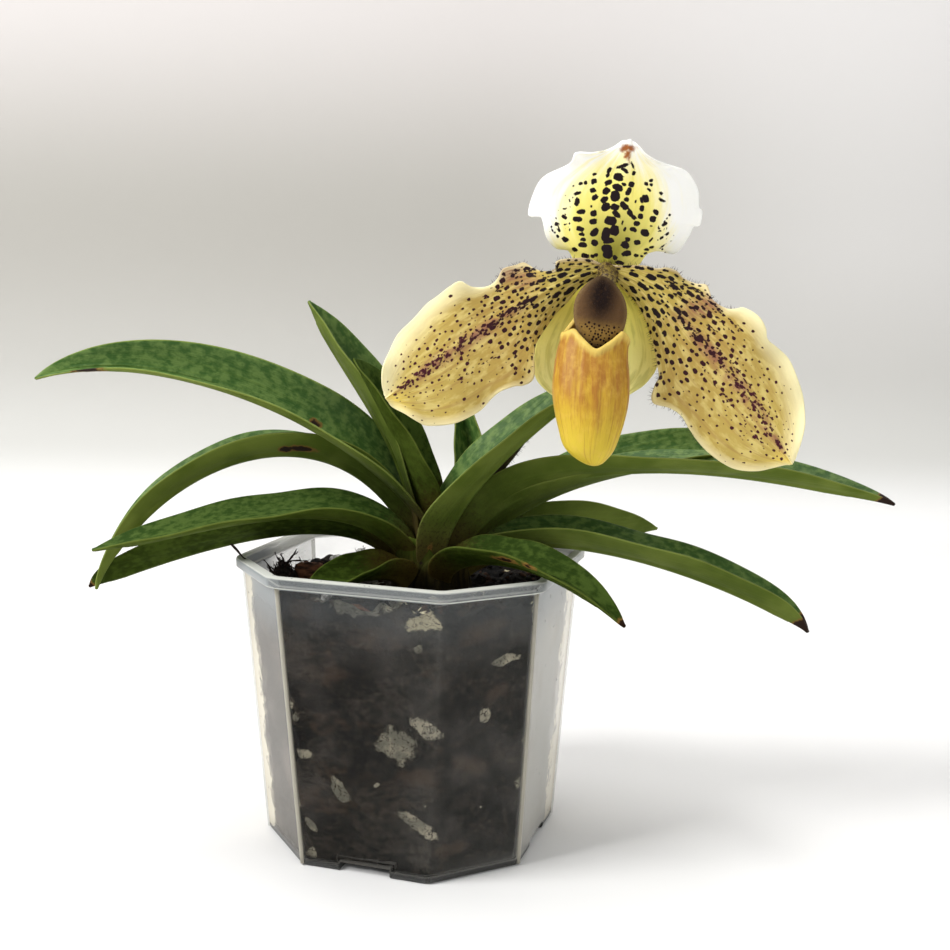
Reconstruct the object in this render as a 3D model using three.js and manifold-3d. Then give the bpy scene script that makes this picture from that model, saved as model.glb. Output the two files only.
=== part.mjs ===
// Slipper orchid (Paphiopedilum) in flower, growing in a clear eight-sided pot.
// Millimetres, +Z up, origin at the middle of the pot's base. The flower faces -Y.
import * as THREE from 'three';
import { mergeVertices } from 'three/addons/utils/BufferGeometryUtils.js';
import Module from 'manifold-3d';

const wasm = await Module();
wasm.setup();

const { degToRad, lerp, clamp } = THREE.MathUtils;
const { sin, cos, PI, sqrt, abs, min, max } = Math;
const V = (x, y, z) => new THREE.Vector3(x, y, z);

// ---------------------------------------------------------------- driving dimensions

const GAP = 0.3; // clearance between neighbouring pieces

const POT = {
  height: 82.5,
  turn: degToRad(-17.4), // about Z: a corner face looks to the front right
  wall: 1.0,
  floor: 1.2,
  baseHalf: 38.3, // half the width across the flats, at the table
  baseChamfer: 19.8,
  topHalf: 43.5, // the wall at the rim; the flange stands out from it
  topChamfer: 19.9,
  flangeHalf: 45.5,
  flangeChamfer: 20.8,
  flangeHeight: 3.1,
  beadRadius: 0.9, // the thick moulded bead down each corner
};
const DRAIN = { width: 15, height: 2.7, depth: 9, slotWidth: 9, slotHeight: 1.7, inset: 0.5 };

const MEDIUM = { top: 70.6, mound: 1.6, relief: 0.8, slope: 0.03 }; // highest at the back left

const CROWN = { x: 5, y: -0.5, radius: 8.6, flat: 0.88, holeDepth: 13, top: 86 };

// Each leaf: its midrib as a cubic curve from the crown to the tip, the width of one wing,
// and how far each wing is lifted from level, in degrees, at the base, the middle and the tip.
// Left and right are as seen by someone walking from the crown to the tip.
const LEAVES = [
  { name: 'leaf_01', rib: [[3, 2, 86], [6, 2, 100], [-59, -2, 148], [-106, -8, 132]],
    wing: 12, left: [15, 10, -5], right: [-20, 90, 90] },
  { name: 'leaf_09', rib: [[8, -7, 78], [5, -9, 95], [28, -10, 117], [52, -10, 135]],
    wing: 12, left: [35, 45, 50], right: [65, 25, 15] },
  { name: 'leaf_10', rib: [[11, -3, 79], [28, -1, 120], [96, -6, 109], [134, -14, 101]],
    wing: 13, left: [-10, 15, 45], right: [85, 20, 30] },
  { name: 'leaf_13', rib: [[10, -9, 75], [8, -19, 87], [34, -37, 93], [56, -48, 74]],
    wing: 9, left: [70, 35, 45], right: [40, 30, 20] },
  { name: 'leaf_03', rib: [[0, -5, 76], [-12, -8, 109], [-60, -12, 89], [-89, -16, 85]],
    wing: 11.5, left: [45, 10, 10], right: [55, 25, 30] },
  { name: 'leaf_05', rib: [[-3, -9, 73], [-3, -14, 83], [-18, -22, 77], [-27, -29, 80]],
    wing: 8.5, left: [65, 35, -10], right: [65, 45, 50] },
  { name: 'leaf_07', rib: [[4, 0, 86], [-2, 1, 98], [-9, 2, 124], [-18, 3, 138]],
    wing: 12, left: [80, 45, 10], right: [55, 45, 45] },
  { name: 'leaf_06', rib: [[1, 3, 86], [-2, 6, 114], [-23, 9, 134], [-32, 12, 154]],
    wing: 10.5, left: [20, 35, 30], right: [45, 50, 50] },
  { name: 'leaf_02', rib: [[1, 5, 81], [-21, 7, 133], [-79, 4, 107], [-92, -4, 71]],
    wing: 10.5, left: [65, 35, 30], right: [15, 35, 40] },
  { name: 'leaf_12', rib: [[11, -3, 79], [36, -4, 99], [100, -6, 73], [113, -10, 63]],
    wing: 11.5, left: [50, 30, 60], right: [40, 30, 45] },
  { name: 'leaf_14', rib: [[13, 2, 78], [37, 5, 110], [77, 8, 106], [103, 12, 114]],
    wing: 13, left: [20, 45, 75], right: [60, 15, 10] },
  { name: 'leaf_04', rib: [[-4, -1, 77], [-17, 2, 103], [-80, 4, 76], [-96, 3, 70]],
    wing: 12, left: [50, 35, 60], right: [30, 30, 50] },
  { name: 'leaf_11', rib: [[13, 6, 77], [37, 12, 89], [54, 22, 82], [75, 34, 84]],
    wing: 12, left: [25, 35, 40], right: [80, 75, 50] },
  { name: 'leaf_08', rib: [[11, 9, 84], [19, 12, 98], [16, 16, 116], [9, 20, 130]],
    wing: 8, left: [30, 45, 65], right: [75, 70, 60] },
  { name: 'leaf_15', rib: [[14, 5, 74], [20, 8, 79], [26, 12, 79], [31, 15, 77]],
    wing: 6, left: [40, 30, 30], right: [40, 30, 30] },
];
const LEAF = { thick: 0.9, ribThick: 1.5, along: 14, across: 3, baseShare: 0.45, widest: 0.42 };

const SCAPE = {
  radius: 2.2,
  path: [[9, 3, 86.5], [16, 3.5, 96], [25.5, 3.5, 109.5], [38, 3, 126.5], [47, 2, 138]],
};
const OVARY = {
  radius: 2.9,
  path: [[47.7, 1.7, 139.3], [50.5, -1, 150], [51.5, -9, 160], [51, -19.2, 163.4]],
};

// The flower has a frame of its own: x to the right, z up, -y to the front, at the column's foot.
const FLOWER = { at: [51, -26, 163.5], roll: degToRad(7) };
const PETAL = { thick: 0.8, along: 22, across: 8 };

// ---------------------------------------------------------------- closed solids

/** A closed body through a stack of rings, each an array of points, with a flat fan on both ends. */
function loft(rings) {
  const n = rings[0].length;
  const points = rings.flat();
  const index = [];
  for (let i = 0; i + 1 < rings.length; i++) {
    for (let j = 0; j < n; j++) {
      const a = i * n + j;
      const b = i * n + ((j + 1) % n);
      index.push(a, b, b + n, a, b + n, a + n);
    }
  }
  const middle = (ring) => ring.reduce((sum, p) => sum.add(p), V(0, 0, 0)).divideScalar(n);
  const bottom = points.push(middle(rings[0])) - 1;
  const top = points.push(middle(rings.at(-1))) - 1;
  const last = (rings.length - 1) * n;
  for (let j = 0; j < n; j++) {
    const k = (j + 1) % n;
    index.push(bottom, k, j, top, last + j, last + k);
  }
  return indexed(points, index);
}

/** A thin closed blade: point(u, v) is its middle surface, thick(u, v) its thickness. */
function blade(along, across, point, thick) {
  const step = 1e-3;
  const grid = [];
  for (const side of [1, -1]) {
    for (let i = 0; i <= along; i++) {
      for (let j = 0; j <= across; j++) {
        const u = i / along;
        const v = (2 * j) / across - 1;
        const du = point(min(u + step, 1), v).sub(point(max(u - step, 0), v));
        const dv = point(u, min(v + step, 1)).sub(point(u, max(v - step, -1)));
        const normal = du.cross(dv).normalize();
        grid.push(point(u, v).addScaledVector(normal, (side * thick(u, v)) / 2));
      }
    }
  }
  const row = across + 1;
  const back = row * (along + 1);
  const index = [];
  for (let i = 0; i < along; i++) {
    for (let j = 0; j < across; j++) {
      const [a, b, c, d] = [i * row + j, (i + 1) * row + j, (i + 1) * row + j + 1, i * row + j + 1];
      index.push(a, b, c, a, c, d, back + a, back + c, back + b, back + a, back + d, back + c);
    }
  }
  const edge = [];
  for (let i = 0; i < along; i++) edge.push(i * row);
  for (let j = 0; j < across; j++) edge.push(along * row + j);
  for (let i = along; i > 0; i--) edge.push(i * row + across);
  for (let j = across; j > 0; j--) edge.push(j);
  edge.forEach((a, k) => {
    const b = edge[(k + 1) % edge.length];
    index.push(a, back + b, b, a, back + a, back + b);
  });
  return indexed(grid, index);
}

function indexed(points, index) {
  const geometry = new THREE.BufferGeometry().setFromPoints(points);
  geometry.setIndex(index);
  return geometry;
}

/** A three.js geometry as a solid that can be joined and cut. */
function solid(geometry) {
  const bare = geometry.clone();
  bare.deleteAttribute('normal');
  bare.deleteAttribute('uv');
  const merged = mergeVertices(bare, 1e-4);
  const mesh = new wasm.Mesh({
    numProp: 3,
    vertProperties: new Float32Array(merged.attributes.position.array),
    triVerts: new Uint32Array(merged.index.array),
  });
  return new wasm.Manifold(mesh);
}

/** The largest body of a solid, back as a three.js geometry. */
function geometryOf(shape) {
  const largest = shape.decompose().sort((a, b) => b.volume() - a.volume())[0];
  const mesh = largest.getMesh();
  const geometry = new THREE.BufferGeometry();
  geometry.setAttribute('position', new THREE.BufferAttribute(mesh.vertProperties, 3));
  geometry.setIndex(new THREE.BufferAttribute(mesh.triVerts, 1));
  return geometry;
}

/** A round stem along a smooth curve; scale(t) swells or narrows it on the way. */
function tube(points, radius, sides, steps, scale = () => 1) {
  const curve = new THREE.CatmullRomCurve3(points);
  const circle = new THREE.Shape();
  circle.absarc(0, 0, radius, 0, 2 * PI);
  const geometry = new THREE.ExtrudeGeometry(circle, { steps, extrudePath: curve, curveSegments: sides });
  const centres = curve.getSpacedPoints(steps);
  const position = geometry.attributes.position;
  for (let i = 0; i < position.count; i++) {
    const p = V().fromBufferAttribute(position, i);
    const away = centres.map((centre) => centre.distanceTo(p));
    const k = away.indexOf(min(...away));
    p.sub(centres[k]).multiplyScalar(scale(k / steps)).add(centres[k]);
    position.setXYZ(i, p.x, p.y, p.z);
  }
  return geometry;
}

/** A value read along a short list of evenly spaced values, with a smooth curve through them. */
function along(values, t) {
  const x = clamp(t, 0, 1) * (values.length - 1);
  const i = min(Math.floor(x), values.length - 2);
  const at = (k) => values[clamp(k, 0, values.length - 1)];
  const f = x - i;
  const [a, b, c, d] = [at(i - 1), at(i), at(i + 1), at(i + 2)];
  return b + (f / 2) * (c - a + f * (2 * a - 5 * b + 4 * c - d + f * (3 * (b - c) + d - a)));
}

// ---------------------------------------------------------------- pieces

const object = new THREE.Group();

function place(parent, name, geometry, color, roughness) {
  const material = new THREE.MeshStandardMaterial({ color, roughness, metalness: 0 });
  const mesh = new THREE.Mesh(geometry, material);
  mesh.name = name;
  parent.add(mesh);
}

// The pot: a tapered shell, square with cut corners, with a flange round the rim, a bead down
// each corner, and a drain channel in the floor at the middle of each broad side.
function octagon(half, chamfer, z) {
  const far = half - chamfer;
  const corners = [[-half, far], [-half, -far], [-far, -half], [far, -half], [half, -far], [half, far],
    [far, half], [-far, half]];
  return corners.map(([x, y]) => V(x, y, z));
}

function wallAt(z, inset) {
  const t = z / POT.height;
  const cut = inset * (2 - sqrt(2)); // keeps the sloping corner faces parallel
  return octagon(lerp(POT.baseHalf, POT.topHalf, t) - inset, lerp(POT.baseChamfer, POT.topChamfer, t) - cut, z);
}

function cuboid(width, depth, height, x, y, z) {
  return new THREE.BoxGeometry(width, depth, height).translate(x, y, z);
}

/** One thing at each broad side; reach is measured outwards from the pot's axis. */
function onFourSides(make) {
  return [0, 1, 2, 3].map((k) => solid(make().rotateZ((k * PI) / 2)));
}

function drainHousing(grow) {
  const { width, height, depth } = DRAIN;
  const wide = width + 2 * (POT.wall + grow);
  const deep = depth + POT.wall + grow;
  const tall = height + POT.floor + grow;
  return onFourSides(() => cuboid(wide, deep, tall, 0, deep / 2 - POT.baseHalf + DRAIN.inset, tall / 2));
}

function potShell() {
  const { height, wall, floor, flangeHalf, flangeChamfer, flangeHeight, beadRadius } = POT;
  const flangeAt = (z) => octagon(flangeHalf, flangeChamfer, z);
  let shell = solid(loft([wallAt(0, 0), wallAt(height, 0)]));
  const flange = solid(loft([flangeAt(height - flangeHeight), flangeAt(height)]));
  shell = shell.add(flange);
  const low = wallAt(0, beadRadius * 0.4);
  wallAt(height - 1, beadRadius * 0.4).forEach((end, k) => {
    const run = new THREE.LineCurve3(low[k], end);
    const round = new THREE.Shape().absarc(0, 0, beadRadius, 0, 2 * PI);
    const bead = new THREE.ExtrudeGeometry(round, { steps: 1, extrudePath: run, curveSegments: 8 });
    shell = shell.add(solid(bead));
  });
  shell = shell.intersect(solid(loft([flangeAt(0), flangeAt(height)])));
  shell = shell.subtract(solid(loft([wallAt(floor, wall), wallAt(height + 1, wall)])));
  const inside = solid(loft([wallAt(0, 0.1), wallAt(height / 2, 0.1)]));
  for (const housing of drainHousing(0)) shell = shell.add(housing.intersect(inside));
  const { width, depth, slotWidth, slotHeight } = DRAIN;
  const inner = depth + wall - POT.baseHalf + DRAIN.inset; // the housing's inner face
  const past = 10; // the cutter runs out through the wall
  const channelY = inner - wall - (depth + past) / 2;
  const channel = onFourSides(() => cuboid(width, depth + past, 2 * DRAIN.height, 0, channelY, 0));
  const slot = onFourSides(() => cuboid(slotWidth, 4, slotHeight, 0, inner, floor + slotHeight / 2));
  for (const cut of [...channel, ...slot]) shell = shell.subtract(cut);
  return shell;
}

// The growing medium: bark and compost filling the pot, with a rough mounded top, a plain hole
// for the crown, and pockets that the loose chips sit in.
function reliefAt(x, y) {
  const rough = sin(0.42 * x + 1.3) * cos(0.37 * y - 0.4) + 0.6 * sin(0.93 * x + 0.71 * y)
    + 0.5 * cos(1.3 * y - 0.5 * x);
  const rise = 1 - min(1, sqrt(x * x + y * y) / 36) ** 2;
  return MEDIUM.top + MEDIUM.mound * rise + MEDIUM.relief * rough + MEDIUM.slope * (y - x);
}

function mediumBlock() {
  const perSide = 5;
  const ring = (z, inset, height) => {
    const corners = wallAt(z, inset);
    return corners.flatMap((a, k) => {
      const b = corners[(k + 1) % corners.length];
      return Array.from({ length: perSide }, (_, i) => {
        const p = a.clone().lerp(b, i / perSide);
        return height ? V(p.x, p.y, height(p.x, p.y)) : p;
      });
    });
  };
  const clear = POT.wall + GAP;
  const rings = [ring(POT.floor + GAP, clear), ring(MEDIUM.top - 6, clear)];
  for (const inset of [0, 5, 10, 15, 20, 25, 30, 34]) rings.push(ring(MEDIUM.top - 6, clear + inset, reliefAt));
  let block = solid(loft(rings));
  for (const housing of drainHousing(GAP)) block = block.subtract(housing);
  return block;
}

// Loose chips: bark and perlite lumps half sunk in the top of the medium. Place, how far the
// middle stands over the medium, the three half sizes and the turn.
const CHIPS = [
  { name: 'bark_chip_01', at: [-31, 3], over: 2.6, size: [5.2, 3.4, 3.4], turn: 0.4, bark: true },
  { name: 'bark_chip_02', at: [24, -26], over: 0.4, size: [5.5, 3.2, 1.9], turn: 2.2, bark: true },
  { name: 'bark_chip_03', at: [8, 27], over: 0.5, size: [6.2, 4, 2.2], turn: 1.2, bark: true },
  { name: 'bark_chip_04', at: [-15, -25], over: 0.4, size: [5, 3, 1.8], turn: 2.9, bark: true },
  { name: 'perlite_01', at: [-25.5, 31], over: 0.9, size: [2.8, 2.4, 2.1], turn: 0.2 },
  { name: 'perlite_02', at: [-18.5, 36], over: 0.6, size: [2.6, 2.2, 2], turn: 1.1 },
  { name: 'perlite_03', at: [-12, 38.5], over: 0.6, size: [3.1, 2.4, 2], turn: 0.6 },
  { name: 'perlite_04', at: [33, 3], over: 0.3, size: [2.2, 1.9, 1.6], turn: 1.7 },
  { name: 'perlite_05', at: [-24, -13], over: 0.3, size: [2, 1.7, 1.4], turn: 2.4 },
];

function chip({ at: [x, y], over, size, turn }, grow) {
  const geometry = new THREE.IcosahedronGeometry(1, 1);
  const position = geometry.attributes.position;
  for (let i = 0; i < position.count; i++) {
    const p = V().fromBufferAttribute(position, i);
    const knobbly = 1 + 0.14 * sin(5 * p.x + 9 * turn) * cos(4 * p.y + 3 * p.z + turn);
    const radii = size.map((radius) => radius * knobbly + grow);
    position.setXYZ(i, p.x * radii[0], p.y * radii[1], p.z * radii[2]);
  }
  return geometry.rotateZ(turn).translate(x, y, reliefAt(x, y) + over);
}

// Dead black rootlets that stand out of the medium, rooted well in it.
function rootlets() {
  const count = 16;
  return Array.from({ length: count }, (_, k) => {
    const across = (k * 0.618) % 1;
    const x = lerp(-41, -31, across) + 1.5 * sin(9 * k);
    const y = lerp(-2, 20, k / count);
    const height = 4.5 + 4 * abs(sin(2.7 * k));
    const lean = [2.4 * sin(3.1 * k), 2.4 * cos(5.3 * k)];
    const spike = new THREE.ConeGeometry(0.62, height, 4).rotateX(PI / 2).translate(0, 0, height / 2 - 3);
    const position = spike.attributes.position;
    for (let i = 0; i < position.count; i++) {
      const rise = max(0, position.getZ(i)) / height;
      position.setXY(i, position.getX(i) + lean[0] * rise, position.getY(i) + lean[1] * rise);
    }
    return solid(spike.translate(x, y, reliefAt(x, y)));
  });
}

// The crown: the short stem with the old leaf sheaths round it.
function crownBody(grow) {
  const { x, y, radius, flat, holeDepth, top } = CROWN;
  const foot = MEDIUM.top + MEDIUM.mound - holeDepth;
  const profile = [[0, foot], [radius, foot], [radius, 72.5], [radius * 0.97, 76], [radius * 0.84, 80.5],
    [radius * 0.56, 84.3], [0, top]];
  const points = profile.map(([r, z], k) => {
    const outward = r > 0 ? grow : 0;
    const away = k === 0 || k === 1 ? -grow : grow;
    return new THREE.Vector2(r + outward, z + away);
  });
  return new THREE.LatheGeometry(points, 20).rotateX(PI / 2).scale(1, flat, 1).translate(x, y, 0);
}

// A strap leaf: two wings folded up along a keel, widest before the middle, narrowing to a point.
function leafBody({ rib, wing, left, right }, grow) {
  const curve = new THREE.CubicBezierCurve3(...rib.map((p) => V(...p)));
  const run = V(...rib[3]).sub(V(...rib[0])).setZ(0).normalize();
  const level = V(-run.y, run.x, 0); // points to the left of the run
  const { thick, ribThick, baseShare, widest } = LEAF;
  const lift = (angles, u) => {
    const [from, to, t] = u < 0.5 ? [angles[0], angles[1], 2 * u] : [angles[1], angles[2], 2 * u - 1];
    return degToRad(lerp(from, to, t));
  };
  const share = (u) => {
    const opening = lerp(baseShare, 1, sin((PI / 2) * clamp(u / widest, 0, 1)));
    const narrowing = max(0, 1 - max(0, (u - widest) / (1 - widest)) ** 2.3) ** 0.8;
    return opening * max(narrowing, 0.035);
  };
  const point = (u, v) => {
    const ahead = curve.getTangent(u);
    const side = level.clone().addScaledVector(ahead, -level.dot(ahead)).normalize();
    const up = ahead.clone().cross(side);
    const angle = lift(v > 0 ? left : right, u);
    const reach = (wing * share(u) + grow) * abs(v);
    const belly = 0.08 * wing * share(u) * sin(PI * abs(v)); // each wing is a little convex below
    const overrun = grow * ((u === 1) - (u === 0));
    return curve.getPoint(u)
      .addScaledVector(ahead, overrun)
      .addScaledVector(side, Math.sign(v) * (reach * cos(angle) + belly * sin(angle)))
      .addScaledVector(up, reach * sin(angle) - belly * cos(angle));
  };
  const thickness = (u, v) => lerp(ribThick, thick, min(1, 1.6 * abs(v))) * (u > 0.9 ? 0.8 : 1) + 2 * grow;
  return blade(LEAF.along, 2 * LEAF.across, point, thickness);
}

// The scape: the dark flower stem, leaning out of the crown.
function scapeBody(grow) {
  const points = SCAPE.path.map((p) => V(...p));
  const beyond = (end, next) => end.clone().sub(next).setLength(grow).add(end);
  const foot = beyond(points[0], points[1]);
  const head = beyond(points.at(-1), points.at(-2));
  return tube([foot, ...points.slice(1, -1), head], SCAPE.radius + grow, 5, 14);
}

// The ovary: the ribbed stalk, thickest in the middle, that bends forward to the flower.
const ovarySwell = (t) => 0.72 + 0.28 * sin(PI * clamp(1.15 * t, 0, 1));

function ovaryBody() {
  return tube(OVARY.path.map((p) => V(...p)), OVARY.radius, 5, 12, ovarySwell);
}

// The bract: a green sheath that clasps the foot of the ovary.
function bractBody() {
  const curve = new THREE.CatmullRomCurve3(OVARY.path.map((p) => V(...p)));
  const thick = 0.8;
  const point = (u, v) => {
    const t = lerp(0.02, 0.52, u);
    const ahead = curve.getTangent(t);
    const side = V(0, 1, 0).cross(ahead).normalize();
    const back = ahead.clone().cross(side);
    const angle = PI / 2 + v * lerp(1.9, 0.25, u * u);
    const reach = OVARY.radius * ovarySwell(t) + GAP + thick / 2 + 1.8 * u * u;
    return curve.getPoint(t)
      .addScaledVector(side, reach * cos(angle))
      .addScaledVector(back, -reach * sin(angle));
  };
  return blade(10, 8, point, () => thick);
}

// The column, short and stout, that carries the pouch and the staminode.
function columnBody() {
  const steps = [[-6, 2.3, 0], [-4, 2.6, 0], [-1, 2.8, -0.2], [2, 2.9, -0.8], [5, 2.6, -2.4], [7.4, 2, -4.2]];
  return loft(steps.map(([front, radius, z]) => Array.from({ length: 14 }, (_, k) => {
    const a = (k / 14) * 2 * PI;
    return V(radius * cos(a), -front, z + radius * sin(a));
  })));
}

// The staminode: an egg-shaped shield in front of the column, domed, narrow at the top. Its
// lower end hangs in the mouth of the pouch.
function staminodeBody() {
  const ring = (share, front) => Array.from({ length: 20 }, (_, k) => {
    const a = (k / 20) * 2 * PI;
    const waist = 1 - 0.5 * max(0, sin(a)) ** 2;
    const z = -10.5 + 9.1 * share * sin(a);
    const x = -1.1 - 0.06 * (z + 10.5) + 6.9 * share * waist * cos(a);
    return V(x, -(front - 0.12 * (z + 9.3)), z);
  });
  return loft([ring(0.9, 8.4), ring(1, 9), ring(0.93, 10.1), ring(0.6, 11.1), ring(0.25, 11.4)]);
}

/** A petal or sepal lying along a midline in the flower's plane, with its own half widths. */
function petalBody({ mid, left, right, front, closing }) {
  const curve = new THREE.QuadraticBezierCurve3(...mid.map(([x, z]) => V(x, 0, z)));
  const point = (u, v) => {
    const t = 1 - (1 - u) ** 1.35;
    const ahead = curve.getTangent(t);
    const side = V(-ahead.z, 0, ahead.x);
    const half = max(0.4, along(v > 0 ? left : right, t) * sqrt(max(0, 1 - t ** closing)));
    const p = curve.getPoint(t).addScaledVector(side, half * v);
    p.y = -front(t, v);
    return p;
  };
  return blade(PETAL.along, PETAL.across, point, () => PETAL.thick);
}

const DORSAL = {
  mid: [[0.2, 2.95], [-0.4, 18.5], [0.6, 33.6]],
  left: [4, 13.5, 17.5, 20.8, 22.2, 21.6, 20.6, 17.6, 14.6, 10.6, 6, 4.5],
  right: [4, 12.5, 18.4, 19.8, 21.6, 22.8, 22.2, 21.4, 19.6, 17.4, 9, 4.5],
  closing: 9,
  front: (t, v) => -1.9 + 5.5 * t * t - 5 * v * v * sin(PI * min(1, 0.25 + t)) + 0.9 * v * v * sin(13 * t + 2 * v),
};
const SYNSEPAL = {
  mid: [[0, -3.05], [0, -20], [1.2, -37]],
  left: [4, 9.5, 14, 16.6, 17, 15.4, 13.4, 10, 7],
  right: [4, 10, 13.8, 15.5, 15.6, 14.6, 13.4, 10, 7],
  closing: 8,
  front: (t, v) => -2.4 - 1.5 * sin(PI * t) - 0.5 * v * v + 0.4 * sin(9 * t) * v * v,
};
const LEFT_PETAL = {
  mid: [[-4, -0.2], [-21.6, -10.3], [-52.6, -40]],
  left: [1.6, 1.9, 3, 4.9, 6.5, 9, 14.8, 18, 17, 17.2, 18.2, 18.6, 18], // the lower half
  right: [1.3, 4.4, 5.6, 5, 8.6, 10.2, 8.8, 11.6, 13.5, 12.9, 12, 10.4, 8], // the upper half
  closing: 12,
  front: (t, v) => 3 * sin(2.6 * t) + 2.6 * t * t - 1.3 * v * v * (1 - 0.5 * t)
    + (v < 0 ? 1.7 : 1.1) * v * v * sin(15 * t + (v < 0 ? 0 : 1.6)),
};
const RIGHT_PETAL = {
  mid: [[4, 0.2], [23, -8.8], [56.6, -41.8]],
  left: [1.4, 4, 7.4, 9.7, 11.6, 10.4, 12.8, 15.4, 14.2, 14.8, 13, 9.4, 6], // the upper half
  right: [1.5, 2.6, 3.3, 5.2, 8, 11.4, 15.6, 18.6, 16.2, 17, 17.4, 16.4, 13], // the lower half
  closing: 12,
  front: (t, v) => 3 * sin(2.6 * t) + 2.6 * t * t - 1.3 * v * v * (1 - 0.5 * t)
    + (v > 0 ? 1.7 : 1.1) * v * v * sin(15 * t + (v > 0 ? 0.5 : 2.1)),
};

// The pouch: a deep cup with a V in its front rim, a lobe on each side of it, and a back wall
// that runs up to the column. Heights and half widths from the toe to the column.
const POUCH = {
  toe: -49,
  wall: 0.9,
  heights: [-49, -46, -40.5, -33.2, -27, -21, -15.5, -9, -4],
  halfWidth: [0, 5.6, 8, 9.7, 9.8, 9.1, 8.1, 5.4, 3.8],
  halfDepth: [0, 5, 7.2, 8.6, 8.4, 7.3, 6.2, 5, 3.4],
  middleX: [1.8, 0.5, 0, -0.6, -1, -1.4, -1, -0.6, -0.2],
  middleFront: [17.5, 16.8, 15.2, 13, 11, 9, 7.6, 6.4, 5],
  lobe: -15.1, // peak of each lobe
  lobeAt: 0.775, // how far out each peak stands, as a share of the half width
  shoulder: -16.4, // the rim outside the lobes
  notch: -19.6,
  back: -4.8,
};

function pouchBody() {
  const read = (values, z) => {
    const { heights } = POUCH;
    const i = clamp(heights.findIndex((h) => h > z) - 1, 0, heights.length - 2);
    const f = (z - heights[i]) / (heights[i + 1] - heights[i]);
    return along(values, (i + clamp(f, 0, 1)) / (heights.length - 1));
  };
  const rimAt = (a) => {
    const { lobe, lobeAt, shoulder, notch } = POUCH;
    const aside = abs(sin(a));
    if (cos(a) < 0) return lerp(shoulder, POUCH.back, clamp((-0.4 - cos(a)) / 0.6, 0, 1) ** 0.8);
    if (aside > lobeAt) return lerp(lobe, shoulder, (aside - lobeAt) / (1 - lobeAt));
    return lerp(notch, lobe, aside / lobeAt);
  };
  const sides = 32;
  const levels = [0.02, 0.06, 0.14, 0.26, 0.4, 0.55, 0.7, 0.85, 1];
  const ring = (level, inset) => Array.from({ length: sides }, (_, k) => {
    const a = (k / sides) * 2 * PI;
    const foot = POUCH.toe + 1.3 * inset;
    const z = lerp(foot, rimAt(a), level);
    const round = sqrt(min(1, (z - foot) / 3)); // rounds the toe
    const wide = max(0.3, read(POUCH.halfWidth, max(z, POUCH.toe + 3)) * round - inset);
    const deep = max(0.3, read(POUCH.halfDepth, max(z, POUCH.toe + 3)) * round - inset);
    return V(read(POUCH.middleX, z) + wide * sin(a), -(read(POUCH.middleFront, z) + deep * cos(a)), z);
  });
  const outer = levels.map((level) => ring(level, 0));
  const inner = levels.map((level) => ring(level, POUCH.wall)).reverse();
  return loft([...outer, ...inner]);
}

// ---------------------------------------------------------------- assembly

const COLOR = {
  pot: 0xb9bfc2, medium: 0x221e1c, bark: 0x5f4331, perlite: 0xa7a59c, crown: 0x5a5230, leaf: 0x3d6b35,
  scape: 0x33202a, ovary: 0x4d4436, bract: 0x6d8438, sepal: 0xe9e6c0, synsepal: 0xcdd287, petal: 0xd9c978,
  pouch: 0xdcb63e, column: 0x9c8f45, staminode: 0x80584a,
};

const holder = new THREE.Group();
holder.rotation.z = POT.turn;
object.add(holder);
place(holder, 'pot', geometryOf(potShell()), COLOR.pot, 0.35);

const turned = (shape) => shape.rotate([0, 0, (POT.turn * 180) / PI]);
let medium = turned(mediumBlock()).subtract(solid(crownBody(GAP)));
for (const root of rootlets()) medium = medium.add(root);
for (const each of CHIPS) {
  medium = medium.subtract(solid(chip(each, GAP)));
  place(object, each.name, chip(each, 0), each.bark ? COLOR.bark : COLOR.perlite, 0.9);
}
place(object, 'growing_medium', geometryOf(medium), COLOR.medium, 0.95);
place(object, 'crown', crownBody(0), COLOR.crown, 0.7);

const taken = [solid(crownBody(GAP))];
place(object, 'scape', scapeBody(0), COLOR.scape, 0.7);
taken.push(solid(scapeBody(GAP)));
for (const leaf of LEAVES) {
  let body = solid(leafBody(leaf, 0));
  for (const other of taken) body = body.subtract(other);
  place(object, leaf.name, geometryOf(body), COLOR.leaf, 0.45);
  taken.push(solid(leafBody(leaf, GAP + 0.1)));
}

place(object, 'ovary', ovaryBody(), COLOR.ovary, 0.7);
place(object, 'bract', bractBody(), COLOR.bract, 0.5);

const flower = new THREE.Group();
flower.position.set(...FLOWER.at);
flower.rotation.y = FLOWER.roll;
object.add(flower);
place(flower, 'column', columnBody(), COLOR.column, 0.6);
place(flower, 'staminode', staminodeBody(), COLOR.staminode, 0.6);
place(flower, 'dorsal_sepal', petalBody(DORSAL), COLOR.sepal, 0.5);
place(flower, 'synsepal', petalBody(SYNSEPAL), COLOR.synsepal, 0.5);
place(flower, 'petal_left', petalBody(LEFT_PETAL), COLOR.petal, 0.5);
place(flower, 'petal_right', petalBody(RIGHT_PETAL), COLOR.petal, 0.5);
place(flower, 'pouch', pouchBody(), COLOR.pouch, 0.35);

export default object;
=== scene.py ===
import math
import random

import bmesh
import bpy
import numpy as np
from mathutils import Matrix, Vector, noise


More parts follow.
